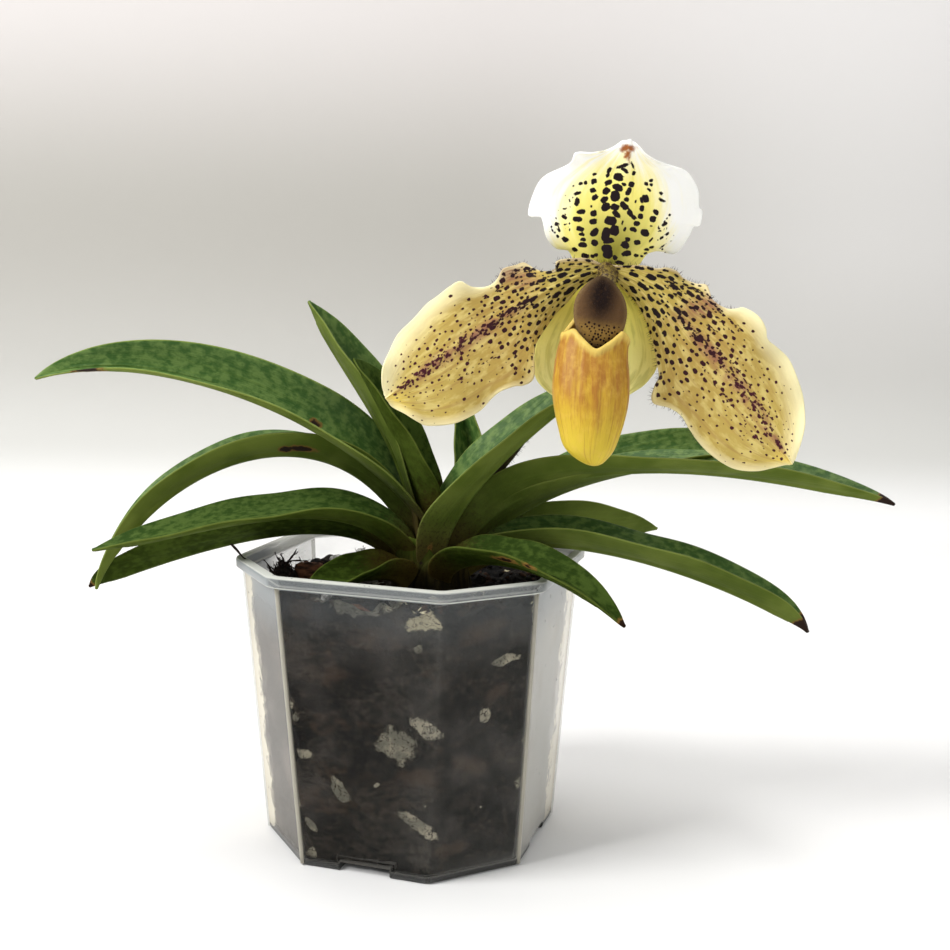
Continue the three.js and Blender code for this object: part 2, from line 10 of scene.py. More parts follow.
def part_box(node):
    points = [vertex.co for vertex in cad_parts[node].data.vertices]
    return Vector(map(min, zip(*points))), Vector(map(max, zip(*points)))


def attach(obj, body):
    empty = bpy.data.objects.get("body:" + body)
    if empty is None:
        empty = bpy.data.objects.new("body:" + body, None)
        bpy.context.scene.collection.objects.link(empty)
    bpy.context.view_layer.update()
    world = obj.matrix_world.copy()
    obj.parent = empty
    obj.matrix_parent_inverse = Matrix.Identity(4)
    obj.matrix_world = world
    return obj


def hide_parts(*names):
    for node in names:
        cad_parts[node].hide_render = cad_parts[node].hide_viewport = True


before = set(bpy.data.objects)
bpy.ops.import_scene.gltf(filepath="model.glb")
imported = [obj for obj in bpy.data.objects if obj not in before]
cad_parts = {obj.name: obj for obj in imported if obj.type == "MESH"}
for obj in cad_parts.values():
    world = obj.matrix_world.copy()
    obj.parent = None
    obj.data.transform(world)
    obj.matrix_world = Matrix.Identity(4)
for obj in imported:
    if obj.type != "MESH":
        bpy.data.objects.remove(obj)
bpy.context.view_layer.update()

scene = bpy.context.scene

# ---------------------------------------------------------------- camera, light and floor
# The plant stands on a white bench in front of a light grey wall. A large soft light hangs
# high at the left, a second one above and behind, and the pale room fills the rest.

pitch, roll = math.radians(8.56), math.radians(0.87)
camera_data = bpy.data.cameras.new("camera")
camera_data.sensor_width = 36
camera_data.lens = 48.91
camera_data.clip_start = 0.01
camera = bpy.data.objects.new("camera", camera_data)
scene.collection.objects.link(camera)
right = Vector((math.cos(roll), math.sin(roll) * math.sin(pitch), math.sin(roll) * math.cos(pitch)))
upward = Vector((-math.sin(roll), math.cos(roll) * math.sin(pitch), math.cos(roll) * math.cos(pitch)))
turned = Matrix((right, upward, right.cross(upward))).transposed()
camera.matrix_world = Matrix.Translation((0.0172, -0.3683, 0.1607)) @ turned.to_4x4()
scene.camera = camera

scene.view_settings.view_transform = "Standard"
world = bpy.data.worlds.new("room")
world.use_nodes = True
world.node_tree.nodes["Background"].inputs["Color"].default_value = (0.93, 0.96, 1.0, 1)
world.node_tree.nodes["Background"].inputs["Strength"].default_value = 0.36
scene.world = world

for name, place, size, power in (
    ("soft_key", (-0.75, -0.36, 0.90), 0.45, 14.0),
    ("soft_top", (0.15, 0.30, 1.20), 0.9, 9.0),
    ("soft_fill", (0.9, -0.9, 0.50), 0.8, 3.4),
):
    lamp = bpy.data.lights.new(name, "AREA")
    lamp.size = size
    lamp.energy = power
    holder = bpy.data.objects.new(name, lamp)
    holder.matrix_world = Matrix.Translation(place) @ (
        Vector((0.02, 0, 0.08)) - Vector(place)).to_track_quat("-Z", "Y").to_matrix().to_4x4()
    scene.collection.objects.link(holder)


def tone(red, green, blue):
    """A display colour from 0 to 255 as the linear one that shaders take."""
    parts = [value / 255 for value in (red, green, blue)]
    return tuple(p / 12.92 if p < 0.04045 else ((p + 0.055) / 1.055) ** 2.4 for p in parts) + (1,)


class Value:
    """What a node gives out. Its sums and products are nodes too."""

    def __init__(self, graph, socket):
        self.graph, self.socket = graph, socket

    def also(self, output):
        return Value(self.graph, self.socket.node.outputs[output])

    def parts(self, kind="ShaderNodeSeparateXYZ"):
        first = self.graph.node(kind, self)
        return [first.also(k) for k in range(3)]

    def step(self, low, high):
        """0 at low, 1 at high, with a smooth rise between; the same beyond them."""
        return self.graph.node("ShaderNodeMapRange", self, low, high, interpolation_type="SMOOTHSTEP")

    def math(self, operation, other=None):
        return self.graph.node("ShaderNodeMath", self, other, operation=operation)

    def __add__(self, other):
        return self.math("ADD", other)

    def __mul__(self, other):
        return self.math("MULTIPLY", other)

    def __sub__(self, other):
        return self.math("SUBTRACT", other)

    def __rsub__(self, other):
        return self.graph.node("ShaderNodeMath", other, self, operation="SUBTRACT")

    def __abs__(self):
        return self.math("ABSOLUTE")

    __radd__ = __add__


class Graph:
    """A tree of nodes. Each call adds one and gives back an output of it."""

    def __init__(self, tree):
        self.tree = tree

    def feed(self, socket, value):
        if isinstance(value, Value):
            self.tree.links.new(value.socket, socket)
        elif value is not None:
            socket.default_value = value

    def node(self, kind, *values, out=0, named=None, **settings):
        """Values go to the inputs in order, named ones to the inputs of that name or number."""
        node = self.tree.nodes.new(kind)
        for key, value in settings.items():
            setattr(node, key, value)
        for socket, value in zip(node.inputs, values):
            self.feed(socket, value)
        for key, value in (named or {}).items():
            self.feed(node.inputs[key], value)
        return Value(self, node.outputs[out])

    def at(self, x, y, z=0.0):
        return self.node("ShaderNodeCombineXYZ", x, y, z)


class Finish(Graph):
    """One material. Its colours are three numbers from 0 to 255, or the output of a mix."""

    def __init__(self, name, **sockets):
        self.material = bpy.data.materials.new(name)
        self.material.use_nodes = True
        super().__init__(self.material.node_tree)
        self.set(**sockets)

    def set(self, **sockets):
        for socket, value in sockets.items():
            self.feed(self.tree.nodes["Principled BSDF"].inputs[socket.replace("_", " ")], value)

    def place(self):
        return self.node("ShaderNodeTexCoord", out="Object")

    def field(self, name):
        return self.node("ShaderNodeAttribute", attribute_name=name, out="Fac")

    def grain(self, scale, detail=4, at=None, roughness=0.55, stretch=None):
        at = at or self.place()
        if stretch:
            at = self.node("ShaderNodeVectorMath", at, stretch, operation="MULTIPLY")
        return self.node("ShaderNodeTexNoise", out="Fac", named={
            "Vector": at, "Scale": scale, "Detail": detail, "Roughness": roughness})

    def mix(self, share, *pair):
        a, b = (tone(*colour) if isinstance(colour, tuple) else colour for colour in pair)
        return self.node("ShaderNodeMix", data_type="RGBA", out=2, named={0: share, 6: a, 7: b})

    def coats(self, colour, *coats):
        """Coats of colour one over the other; each is how much it covers, and its colour."""
        for share, over in coats:
            colour = self.mix(share, colour, over)
        return colour

    def paint(self, *coats):
        self.set(Base_Color=self.coats(*coats))
        return self.material

    def bump(self, height, depth):
        self.set(Normal=self.node("ShaderNodeBump", named={"Height": height, "Distance": depth}))


BENCH_FRONT, BENCH_BACK, SWEEP, WALL_TOP, HALF_WIDTH_OF_BENCH = -1.6, 0.52, 0.10, 1.8, 2.2
outline = [(BENCH_FRONT, 0.0), (BENCH_BACK - SWEEP, 0.0)]
for k in range(1, 13):
    a = k / 12 * math.pi / 2
    outline.append((BENCH_BACK - SWEEP + SWEEP * math.sin(a), SWEEP - SWEEP * math.cos(a)))
outline.append((BENCH_BACK, WALL_TOP))
floor_mesh = bpy.data.meshes.new("bench")
floor_mesh.from_pydata(
    [(x, y, z) for y, z in outline for x in (-HALF_WIDTH_OF_BENCH, HALF_WIDTH_OF_BENCH)], [],
    [(2 * k, 2 * k + 1, 2 * k + 3, 2 * k + 2) for k in range(len(outline) - 1)])
floor_mesh.shade_smooth()
bench = bpy.data.objects.new("bench", floor_mesh)
scene.collection.objects.link(bench)
paper = Finish("bench_paper", Roughness=0.8)
paper_x, _, height = paper.place().parts()
# Painted light on the wall: darker from 2 to 20 cm up, lighter again above that, and lighter towards the
# right.
wall_grey = paper.coats(
    paper.mix(height.step(0.02, 0.20), (200, 199, 194), (170, 167, 160)),
    (height.step(0.20, 0.36), (206, 201, 198)),
    (height.step(0.03, 0.20) * (paper_x.step(0.0, 0.3) * 0.6), (226, 224, 222)))
floor_mesh.materials.append(paper.paint(
    paper.mix(paper.grain(3.0, 3), (232, 231, 229), (238, 237, 235)),
    (height.step(0.0, 0.05), wall_grey)))

# ---------------------------------------------------------------- pot
# One thin moulding of clear plastic, a little milky: square with cut corners, tapered, with a
# flange round the rim, a thick bead down each corner and a drain notch at the foot of each side.

MM = 0.001
POT_HEIGHT, POT_TURN, WALL = 82.5, math.radians(-17.4), 1.0
BASE_HALF, BASE_CUT, TOP_HALF, TOP_CUT = 38.3, 19.8, 43.5, 19.9
FLANGE_HALF, FLANGE_CUT, FLANGE_TALL = 45.5, 20.8, 3.1


def unit(vectors):
    return vectors / np.linalg.norm(vectors, axis=-1, keepdims=True)


def spin(points, angle):
    """Points turned about Z."""
    c, s = math.cos(angle), math.sin(angle)
    x, y = points[..., 0], points[..., 1]
    return np.stack([c * x - s * y, s * x + c * y, points[..., 2]], -1)


def cut_square(half, cut, z, round_by=1.5, steps=8):
    """A square with cut corners, each corner a little rounded."""
    far = half - cut
    corners = np.array([(-half, far), (-half, -far), (-far, -half), (far, -half),
                        (half, -far), (half, far), (far, half), (-far, half)])
    ring = []
    for k, corner in enumerate(corners):
        before = corners[k - 1] - corner
        after = corners[(k + 1) % 8] - corner
        start, end = corner + unit(before) * round_by, corner + unit(after) * round_by
        for t in np.linspace(0, 1, steps + 1):
            point = (1 - t) ** 2 * start + 2 * t * (1 - t) * corner + t * t * end
            ring.append((*point, z))
    return np.array(ring)


def skin(rings, fan_start=True, fan_end=True):
    """Vertices and faces through a stack of rings, closed by a fan at each end."""
    rings = np.asarray(rings)
    count, around = rings.shape[:2]
    vertices = rings.reshape(-1, 3)
    faces = []
    for i in range(count - 1):
        for j in range(around):
            k = (j + 1) % around
            faces.append((i * around + j, i * around + k, (i + 1) * around + k, (i + 1) * around + j))
    for wanted, ring, flip in ((fan_start, 0, True), (fan_end, count - 1, False)):
        if wanted:
            vertices = np.vstack([vertices, rings[ring].mean(0)])
            hub = len(vertices) - 1
            for j in range(around):
                a, b = ring * around + j, ring * around + (j + 1) % around
                faces.append((hub, b, a) if flip else (hub, a, b))
    return vertices, faces


def mesh_of(name, vertices, faces, **fields):
    mesh = bpy.data.meshes.new(name)
    mesh.from_pydata((np.asarray(vertices) * MM).tolist(), [], faces)
    for field, values in fields.items():
        layer = mesh.attributes.new(field, "FLOAT", "POINT")
        layer.data.foreach_set("value", np.asarray(values, np.float32).ravel())
    mesh.shade_smooth()
    return mesh


def finished(name, mesh, material, slot, *nodes):
    """A mesh as a piece of the object, in place of the plain solids named."""
    mesh.materials.clear()
    mesh.materials.append(material)
    piece = bpy.data.objects.new(name, mesh)
    scene.collection.objects.link(piece)
    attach(piece, "root")
    if nodes:
        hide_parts(*nodes)
    return piece


def pot_ring(z, inset=0.0):
    t = z / POT_HEIGHT
    lose = inset * (2 - math.sqrt(2))
    return cut_square(BASE_HALF + (TOP_HALF - BASE_HALF) * t - inset,
                      BASE_CUT + (TOP_CUT - BASE_CUT) * t - lose, z)


def flange_ring(z, out=0.0):
    return cut_square(FLANGE_HALF + out, FLANGE_CUT + out * (2 - math.sqrt(2)), z, round_by=3.0)


flange_foot = POT_HEIGHT - FLANGE_TALL
rings = [pot_ring(0.0, 1.0), pot_ring(0.25, 0.3), pot_ring(0.9, 0.0)]
rings += [pot_ring(z, 0.0) for z in np.linspace(5.5, flange_foot - 2.5, 12)]
rings += [pot_ring(flange_foot - 0.6, 0.0), pot_ring(flange_foot, -0.5)]
rings += [flange_ring(flange_foot + 0.1, -0.5), flange_ring(flange_foot + 0.5, -0.1),
          flange_ring(POT_HEIGHT - 0.7), flange_ring(POT_HEIGHT - 0.15, -0.25),
          flange_ring(POT_HEIGHT, -0.8)]
rings += [pot_ring(POT_HEIGHT, WALL - 0.5), pot_ring(POT_HEIGHT - 0.5, WALL)]
rings += [pot_ring(z, WALL) for z in np.linspace(POT_HEIGHT - 4, 3.0, 12)]
rings += [pot_ring(1.5, WALL + 0.4), pot_ring(1.2, WALL + 1.2)]
vertices, faces = skin(rings)
pot_mesh = mesh_of("pot_shell", spin(vertices, POT_TURN), faces)


def boxes(name, wide, near, far, low, high):
    """One box at the foot of each of the four broad sides, as a single mesh."""
    vertices, faces = [], []
    for k in range(4):
        corners = np.array([(x, y, z) for x in (-wide / 2, wide / 2) for y in (near, far)
                            for z in (low, high)], float)
        faces += [[8 * k + i for i in f] for f in ((0, 1, 3, 2), (4, 6, 7, 5), (0, 4, 5, 1),
                                                  (2, 3, 7, 6), (0, 2, 6, 4), (1, 5, 7, 3))]
        vertices.extend(spin(corners, POT_TURN + k * math.pi / 2))
    box_object = bpy.data.objects.new(name, mesh_of(name, vertices, faces))
    scene.collection.objects.link(box_object)
    return box_object


def settled(thing):
    """The mesh of an object once its modifiers have done their work."""
    bpy.context.view_layer.update()
    return bpy.data.meshes.new_from_object(thing.evaluated_get(bpy.context.evaluated_depsgraph_get()))


def join_and_cut(name, mesh, *steps):
    """A mesh after boolean steps with helper solids, which are then gone."""
    body = bpy.data.objects.new(name, mesh)
    scene.collection.objects.link(body)
    for operation, tool in steps:
        step = body.modifiers.new(operation, "BOOLEAN")
        step.operation = operation
        step.object = tool
    result = settled(body)
    bpy.data.objects.remove(body)
    for _, tool in steps:
        bpy.data.objects.remove(tool)
    return result


housing = boxes("drain_housing", 17.0, -37.6, -28.0, 0.4, 3.9)
channel = boxes("drain_channel", 15.0, -50.0, -29.2, -3.0, 2.7)
pot_mesh = join_and_cut("pot_cut", pot_mesh, ("UNION", housing), ("DIFFERENCE", channel))
pot_mesh.name = "pot_clear"
for polygon in pot_mesh.polygons:
    polygon.use_smooth = True
pot_mesh.set_sharp_from_angle(angle=math.radians(38))

# Clear where it is met square on and milkier at a slant. Outside the filling the cut corners
# carry a pale torn film; the lip and the foot are thicker and show more, and the thin pale
# lines at the lip are also painted highlights. Painted light: the wall is painted lighter from
# left to right, where more light comes through it, and the far walls near white, where the
# bright room shows through them.
clear = Finish("clear_plastic", Roughness=0.22, IOR=1.49, Specular_IOR_Level=0.25)
pot_x, pot_y, pot_z = clear.place().parts()
# The far walls: painted near white, as painted light from the bright room seen through them.
far_wall = pot_y.step(0.0, 0.012)
blotch = clear.grain(60, 5).step(0.45, 0.75)
slant = clear.node("ShaderNodeLayerWeight", out="Facing").step(0.25, 0.62)
lip = pot_z.step(0.0819, 0.0823).math("MAXIMUM", pot_z.step(0.0792, 0.0794) * pot_z.step(0.0801, 0.0797))
foot = pot_z.step(0.0026, 0.0015)
specks = clear.grain(560, 3).step(0.69, 0.72)
off_edge = abs(pot_x) - (pot_z * 0.0788 + 0.0421)
film = (off_edge + clear.grain(150, 5, roughness=0.7) * 0.009).step(0.0012, 0.0020) * pot_z.step(0.079, 0.077)
opacity = 0.025 + (slant * (0.60 - far_wall * 0.36) + blotch * 0.05)
for part, share in ((pot_z.step(0.062, 0.077), 0.07), (pot_z.step(0.0786, 0.0792), 0.30),
                    (lip, 0.32), (foot, 0.70), (specks, 0.6)):
    opacity = opacity + part * share
clear.set(Alpha=opacity.math("MINIMUM", 0.92))
clear.bump(clear.grain(45, 2), 0.0002)
# Painted light: lighter from left to right and near white on the far walls; the lip lines are partly painted
# highlights.
finished("pot_clear", pot_mesh, clear.paint(
    clear.mix(pot_x.step(-0.035, 0.035), (114, 110, 104), (194, 192, 184)),
    (blotch * 0.5, (166, 156, 146)), (pot_z.step(0.060, 0.079) * 0.8, (148, 154, 156)),
    (far_wall, (214, 214, 206)), (film, (236, 228, 206)), (lip, (202, 203, 195)),
    (foot, (64, 64, 62)), (specks, (52, 42, 34))), "clear_pot", "pot")


def once_round(count):
    return np.linspace(0, 2 * math.pi, count, endpoint=False)


def tube(points, radii, around):
    """Rings round each point of a path; a radius is one number, or one for each place round."""
    path = np.asarray(points, float)
    ahead = unit(np.gradient(path, axis=0))
    side = np.cross(ahead[0], (0.3, 0.9, 0.2))
    rings = []
    for k, centre in enumerate(path):
        side = unit(side - ahead[k] * np.dot(side, ahead[k]))
        other = np.cross(ahead[k], side)
        turn = once_round(around)[:, None]
        radius = np.reshape(radii[k], (-1, 1)) if np.ndim(radii[k]) else radii[k]
        rings.append(centre + radius * (np.cos(turn) * side + np.sin(turn) * other))
    return np.array(rings)


def through(points, count):
    """A smooth path through a few points."""
    points = np.asarray(points, float)
    padded = np.vstack([2 * points[0] - points[1], points, 2 * points[-1] - points[-2]])
    path = []
    for x in np.linspace(0, len(points) - 1, count):
        i = min(int(x), len(points) - 2)
        f = x - i
        a, b, c, d = padded[i:i + 4]
        path.append(b + f / 2 * (c - a + f * (2 * a - 5 * b + 4 * c - d + f * (3 * (b - c) + d - a))))
    return np.array(path)


def gather(parts):
    """Several vertex and face lists as one."""
    vertices, faces, first = [], [], 0
    for part_vertices, part_faces in parts:
        vertices.append(part_vertices)
        faces += [tuple(first + i for i in face) for face in part_faces]
        first += len(part_vertices)
    return np.vstack(vertices), faces


# How clearly each bead stands out, from the one at the left of the front face onwards.
BEAD_SHOWN = (0.40, 0.22, 0.85, 0.015, 0.80, 0.22, 0.45, 0.45)
BEAD_RADIUS, BEAD_ROWS = 0.62, 24
bead_parts, shown_field = [], []
low, high = (cut_square(half, cut, z, steps=2)[1::3] for half, cut, z in (
    (BASE_HALF, BASE_CUT, 0.6), (TOP_HALF - 0.25, TOP_CUT, flange_foot - 0.2)))
for foot_end, head_end, shown in zip(low, high, BEAD_SHOWN):
    path = np.linspace(foot_end, head_end, BEAD_ROWS)
    bead_parts.append(skin(tube(path, np.full(BEAD_ROWS, BEAD_RADIUS), 14)))
    shown_field.append(np.full(len(bead_parts[-1][0]), shown))
vertices, faces = gather(bead_parts)
bead_mesh = mesh_of("pot_corner_beads", spin(vertices, POT_TURN), faces, shown=np.concatenate(shown_field))


def two_tone(name, marks, dark, light, between=None, relief=None, stretch=None, **sockets):
    """A finish mottled in two tones by one grain, and roughened by another one."""
    finish = Finish(name, **sockets)
    share = finish.grain(*marks, stretch=stretch)
    finish.paint(finish.mix(share.step(*between) if between else share, dark, light))
    if relief:
        finish.bump(finish.grain(*relief[:2]), relief[2])
    return finish


thick_plastic = two_tone("thick_clear_plastic", (90, 3), (150, 146, 134), (192, 186, 168),
                         relief=(120, 3, 0.0002), Roughness=0.3, IOR=1.49)
thick_plastic.set(Alpha=thick_plastic.field("shown"))
finished("pot_corner_beads", bead_mesh, thick_plastic.material, "clear_pot")

# ---------------------------------------------------------------- growing medium
# Bark, charcoal and black compost pressed against the clear wall, with a few pale lumps in it.
# The top is a rough mound, strewn with crumbs; a tuft of dead black rootlets stands at the left.

MEDIUM_TOP, MOUND, RELIEF, SLOPE, FOOT = 70.6, 1.6, 0.8, 0.03, 1.5
# The heap of dead roots at the left: its place in the pot, how tall and how wide.
HEAP = (-37.5, -9.5, 5.5, 5.0)


def medium_height(x, y):
    rough = (np.sin(0.42 * x + 1.3) * np.cos(0.37 * y - 0.4) + 0.6 * np.sin(0.93 * x + 0.71 * y)
             + 0.5 * np.cos(1.3 * y - 0.5 * x))
    rise = 1 - np.minimum(1, np.hypot(x, y) / 36) ** 2
    heap = HEAP[2] * np.exp(-((x - HEAP[0]) ** 2 + (y - HEAP[1]) ** 2) / HEAP[3] ** 2)
    return MEDIUM_TOP + MOUND * rise + RELIEF * rough + SLOPE * (y - x) + heap


def length_along(line):
    return np.concatenate([[0], np.cumsum(np.linalg.norm(np.diff(line, axis=0), axis=1))])


def even_steps(line, count, endpoint=True):
    """A line resampled at even steps."""
    run = length_along(line)
    at = np.linspace(0, run[-1], count, endpoint=endpoint)
    return np.stack([np.interp(at, run, values) for values in line.T], -1)


def dense(ring, count):
    return even_steps(np.vstack([ring, ring[:1]]), count, endpoint=False)


WALL_ROWS, AROUND, OFF_WALL = 84, 300, 0.35
PRESSED_UP, PRESSED_IN, FRONT_FROM = 6.8, 4.5, 14


def pressed_up(plan, inset):
    """How much higher the filling stands against the front wall."""
    return (PRESSED_UP * math.exp(-(inset / PRESSED_IN) ** 2)
            * np.clip(-plan[:, 1] / FRONT_FROM - 1, 0, 1))


def filling_ring(z, inset=0.0):
    return dense(pot_ring(z, WALL + OFF_WALL + inset), AROUND)


foot_ring, brim = filling_ring(FOOT), filling_ring(MEDIUM_TOP)
brim_top = medium_height(brim[:, 0], brim[:, 1]) + pressed_up(spin(brim, POT_TURN), 0)
rings = []
for share in np.linspace(0, 1, WALL_ROWS, endpoint=False):
    rise = (brim_top - FOOT) * share / (MEDIUM_TOP - FOOT)
    rings.append(foot_ring + (brim - foot_ring) * rise[:, None])
for inset in np.concatenate([[0.0, 1.2], np.linspace(2.5, 37, 34)]):
    ring = filling_ring(MEDIUM_TOP, inset)
    ring[:, 2] = medium_height(ring[:, 0], ring[:, 1]) + pressed_up(spin(ring, POT_TURN), inset)
    rings.append(ring)
vertices, faces = skin(rings)
for k, point in enumerate(vertices):
    at = Vector(point) / 5.2
    bulge = noise.noise(at) + 0.5 * noise.noise(at * 2.3) + 0.25 * noise.noise(at * 5.1)
    if k < WALL_ROWS * AROUND:
        inward = max(0.0, 0.75 + 1.1 * bulge)
        vertices[k, :2] *= 1 - inward / math.hypot(point[0], point[1])
    else:
        vertices[k, 2] += 0.9 * bulge
vertices = spin(vertices, POT_TURN)

# Lumps against the front wall: x and height of the middle, half sizes, turn in degrees.
PALE_LUMPS = (
    (4.6, 73.4, 5.2, 3.0, 14), (3.1, 65.8, 1.7, 1.3, 30), (26.2, 60.8, 4.2, 1.6, 8),
    (-2.4, 38.0, 6.4, 5.0, -28), (5.4, 43.5, 5.0, 2.4, -34), (20.8, 45.9, 2.4, 1.6, 70),
    (-18.2, 23.4, 4.4, 2.0, -62), (-26.8, 11.7, 3.2, 1.3, -50), (3.4, 15.9, 6.4, 2.2, -34),
    (-28.2, 32.4, 2.6, 1.5, 15), (-11.6, 75.6, 9.6, 2.6, 4), (20.2, 19.1, 0.7, 0.7, 0),
    (5.2, 22.0, 0.6, 0.6, 0), (-8.0, 26.0, 1.0, 0.8, 0), (-30.5, 43.0, 1.2, 1.8, 0),
)
RUSTY_LUMPS = (
    (-28.7, 74.6, 4.0, 4.6, -20), (20.4, 70.0, 8.5, 3.2, 16), (3.0, 29.4, 7.5, 3.4, 8),
    (17.0, 32.0, 5.0, 3.0, -30), (-9.5, 67.5, 3.0, 2.0, 0), (24.0, 52.0, 4.0, 2.6, 30),
    (-20.0, 56.0, 5.0, 3.0, 20), (12.0, 8.0, 6.0, 2.6, 0),
)
SQUARENESS = 2.6


def out_of_oval(dx, dz, c, s, long, wide):
    """0 in the middle of a squarish oval turned by cosine c and sine s, 1 on its edge."""
    return (np.abs((c * dx + s * dz) / long) ** SQUARENESS
            + np.abs((c * dz - s * dx) / wide) ** SQUARENESS) ** (1 / SQUARENESS)


def lump_share(lumps):
    share = np.full(len(vertices), -1.0)
    for x, z, wide, tall, turn in lumps:
        away = out_of_oval(vertices[:, 0] - x, vertices[:, 2] - z, math.cos(math.radians(turn)),
                           math.sin(math.radians(turn)), wide, tall)
        share = np.maximum(share, np.where(vertices[:, 1] < 0, 1 - away, -1.0))
    return share


sideways = np.clip((vertices[:, 1] + 34) / 4, 0, 1)
outermost = np.clip((np.abs(vertices[:, 0]) - 37) / 5, 0, 1) * (vertices[:, 1] < 0)
patchy = np.array([noise.noise(Vector(point) / 7.0 + Vector((9, 4, 2))) for point in vertices])
at_the_sides = sideways * (patchy * 2.2 - 0.95 + 0.6 * outermost) - (1 - sideways)
medium_mesh = mesh_of("growing_medium_fill", vertices, faces, rust=lump_share(RUSTY_LUMPS),
                      pale=np.maximum(lump_share(PALE_LUMPS), at_the_sides))

# Dark crumbs of every grey, drawn out in fibres, with rusty chips of bark among them and the
# pale lumps over all: pitted, cracked, painted lighter where they stand out above the filling at
# the right, as painted light, and darker at the top left, as painted shade. Right of the middle
# the crumbs are painted darker, as painted shade.
bark = Finish("bark_and_compost", Roughness=0.85, Specular_IOR_Level=0.12)
bark_x, _, bark_z = bark.place().parts()
pressed = bark.node("ShaderNodeVectorMath", bark.place(), (0.7, 0.7, 1.25), operation="MULTIPLY")
swirl = bark.node("ShaderNodeTexNoise", out="Color", named={"Vector": pressed, "Scale": 160})
shifted = bark.node("ShaderNodeVectorMath", swirl, (0.006, 0.006, 0.006), pressed, operation="MULTIPLY_ADD")
cells = bark.node("ShaderNodeTexVoronoi", out="Distance", named={"Vector": shifted, "Scale": 120})
pick = cells.also("Color").parts("ShaderNodeSeparateColor")
crumbly = bark.grain(700, 5, roughness=0.75)
fibre = bark.grain(230, 5, stretch=(1.0, 1.0, 1.7), roughness=0.7)
torn = (bark.grain(260, 4, roughness=0.6) - 0.5) * 1.6
crumbs_colour = bark.coats(
    bark.mix(pick[0].step(0.2, 0.9), (21, 20, 19), (64, 59, 52)),
    (pick[1].step(0.74, 0.95), (66, 54, 42)), (pick[2].step(0.90, 0.99), (88, 83, 73)),
    # Painted shade: the crumbs right of the middle are darkened.
    (bark_x.step(0.004, 0.012) * 0.7, (8, 8, 7)),
    (crumbly.step(0.50, 0.62) * 0.55, (86, 79, 66)), (crumbly.step(0.48, 0.38) * 0.6, (8, 8, 8)))
# Painted light on the pale lumps at the top right (above); painted shade on those at the top left (in_shade).
above = bark_z.step(0.066, 0.070) * bark_x.step(-0.004, 0.0)
in_shade = bark_z.step(0.064, 0.068) * bark_x.step(-0.006, -0.010)
cracks = abs(bark.grain(230, 2) - 0.5).step(0.012, 0.004)
lump_colour = bark.coats(
    bark.mix(bark.grain(140, 3).step(0.40, 0.62), (122, 119, 104), (178, 170, 148)),
    (above, (204, 194, 160)),
    (in_shade * 0.85, bark.mix(fibre, (74, 72, 62), (112, 112, 100))),
    (bark.grain(1500, 2).step(0.58, 0.66).math("MAXIMUM", cracks * 0.8), (58, 50, 42)))
bark.bump(bark.grain(420, 5) + cells * -0.8, 0.0010)
finished("growing_medium_fill", medium_mesh, bark.paint(
    bark.mix(fibre.step(0.35, 0.62) * 0.7, (13, 12, 12), crumbs_colour),
    ((bark.field("rust") + torn).step(-0.1, 0.7) * 0.7, bark.mix(fibre, (38, 31, 25), (84, 67, 52))),
    ((bark.field("pale") + torn).step(0.04, 0.30) * 0.92, lump_colour)), "medium", "growing_medium")


def lump(name, size, seed, detail=3, knobs=0.35):
    """A rough stone-like lump of the given half sizes, about the origin, in millimetres."""
    ball = bmesh.new()
    bmesh.ops.create_icosphere(ball, subdivisions=detail, radius=1)
    for vertex in ball.verts:
        at = vertex.co * 1.3 + Vector((seed, 2.7 * seed, -seed))
        push = 1 + knobs * noise.noise(at) + 0.4 * knobs * noise.noise(at * 3.1)
        vertex.co = Vector([part * push * half * MM for part, half in zip(vertex.co, size)])
    mesh = bpy.data.meshes.new(name)
    ball.to_mesh(mesh)
    ball.free()
    mesh.shade_smooth()
    return mesh


chip_bark = Finish("loose_bark", Roughness=0.8, Specular_IOR_Level=0.15)
layers = chip_bark.grain(260, 5, stretch=(1, 1, 3.5))
chip_bark.bump(layers, 0.0012)
chip_bark.paint(chip_bark.mix(layers.step(0.35, 0.7), (62, 42, 32), (138, 92, 66)),
                (chip_bark.grain(90, 3).step(0.55, 0.75), (92, 80, 70)))
grey_perlite = two_tone("perlite", (900, 4), (104, 102, 98), (176, 175, 170), (0.4, 0.6),
                        relief=(900, 4, 0.0007), Roughness=0.85)
chips = [(f"bark_chip_{k:02d}", "bark", chip_bark) for k in range(1, 5)]
chips += [(f"perlite_{k:02d}", "perlite", grey_perlite) for k in range(1, 6)]
# How far the knobs of a lump stand out, as a share of its half sizes.
KNOBS_REACH = 1.06
for k, (node, slot, finish) in enumerate(chips):
    low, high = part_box(node)
    mesh = lump(node + "_lump", [side / 2 / MM / KNOBS_REACH for side in high - low], 3.1 + k, detail=4)
    mesh.transform(Matrix.Translation((low + high) / 2))
    finished(node + "_lump", mesh, finish.material, slot, node)


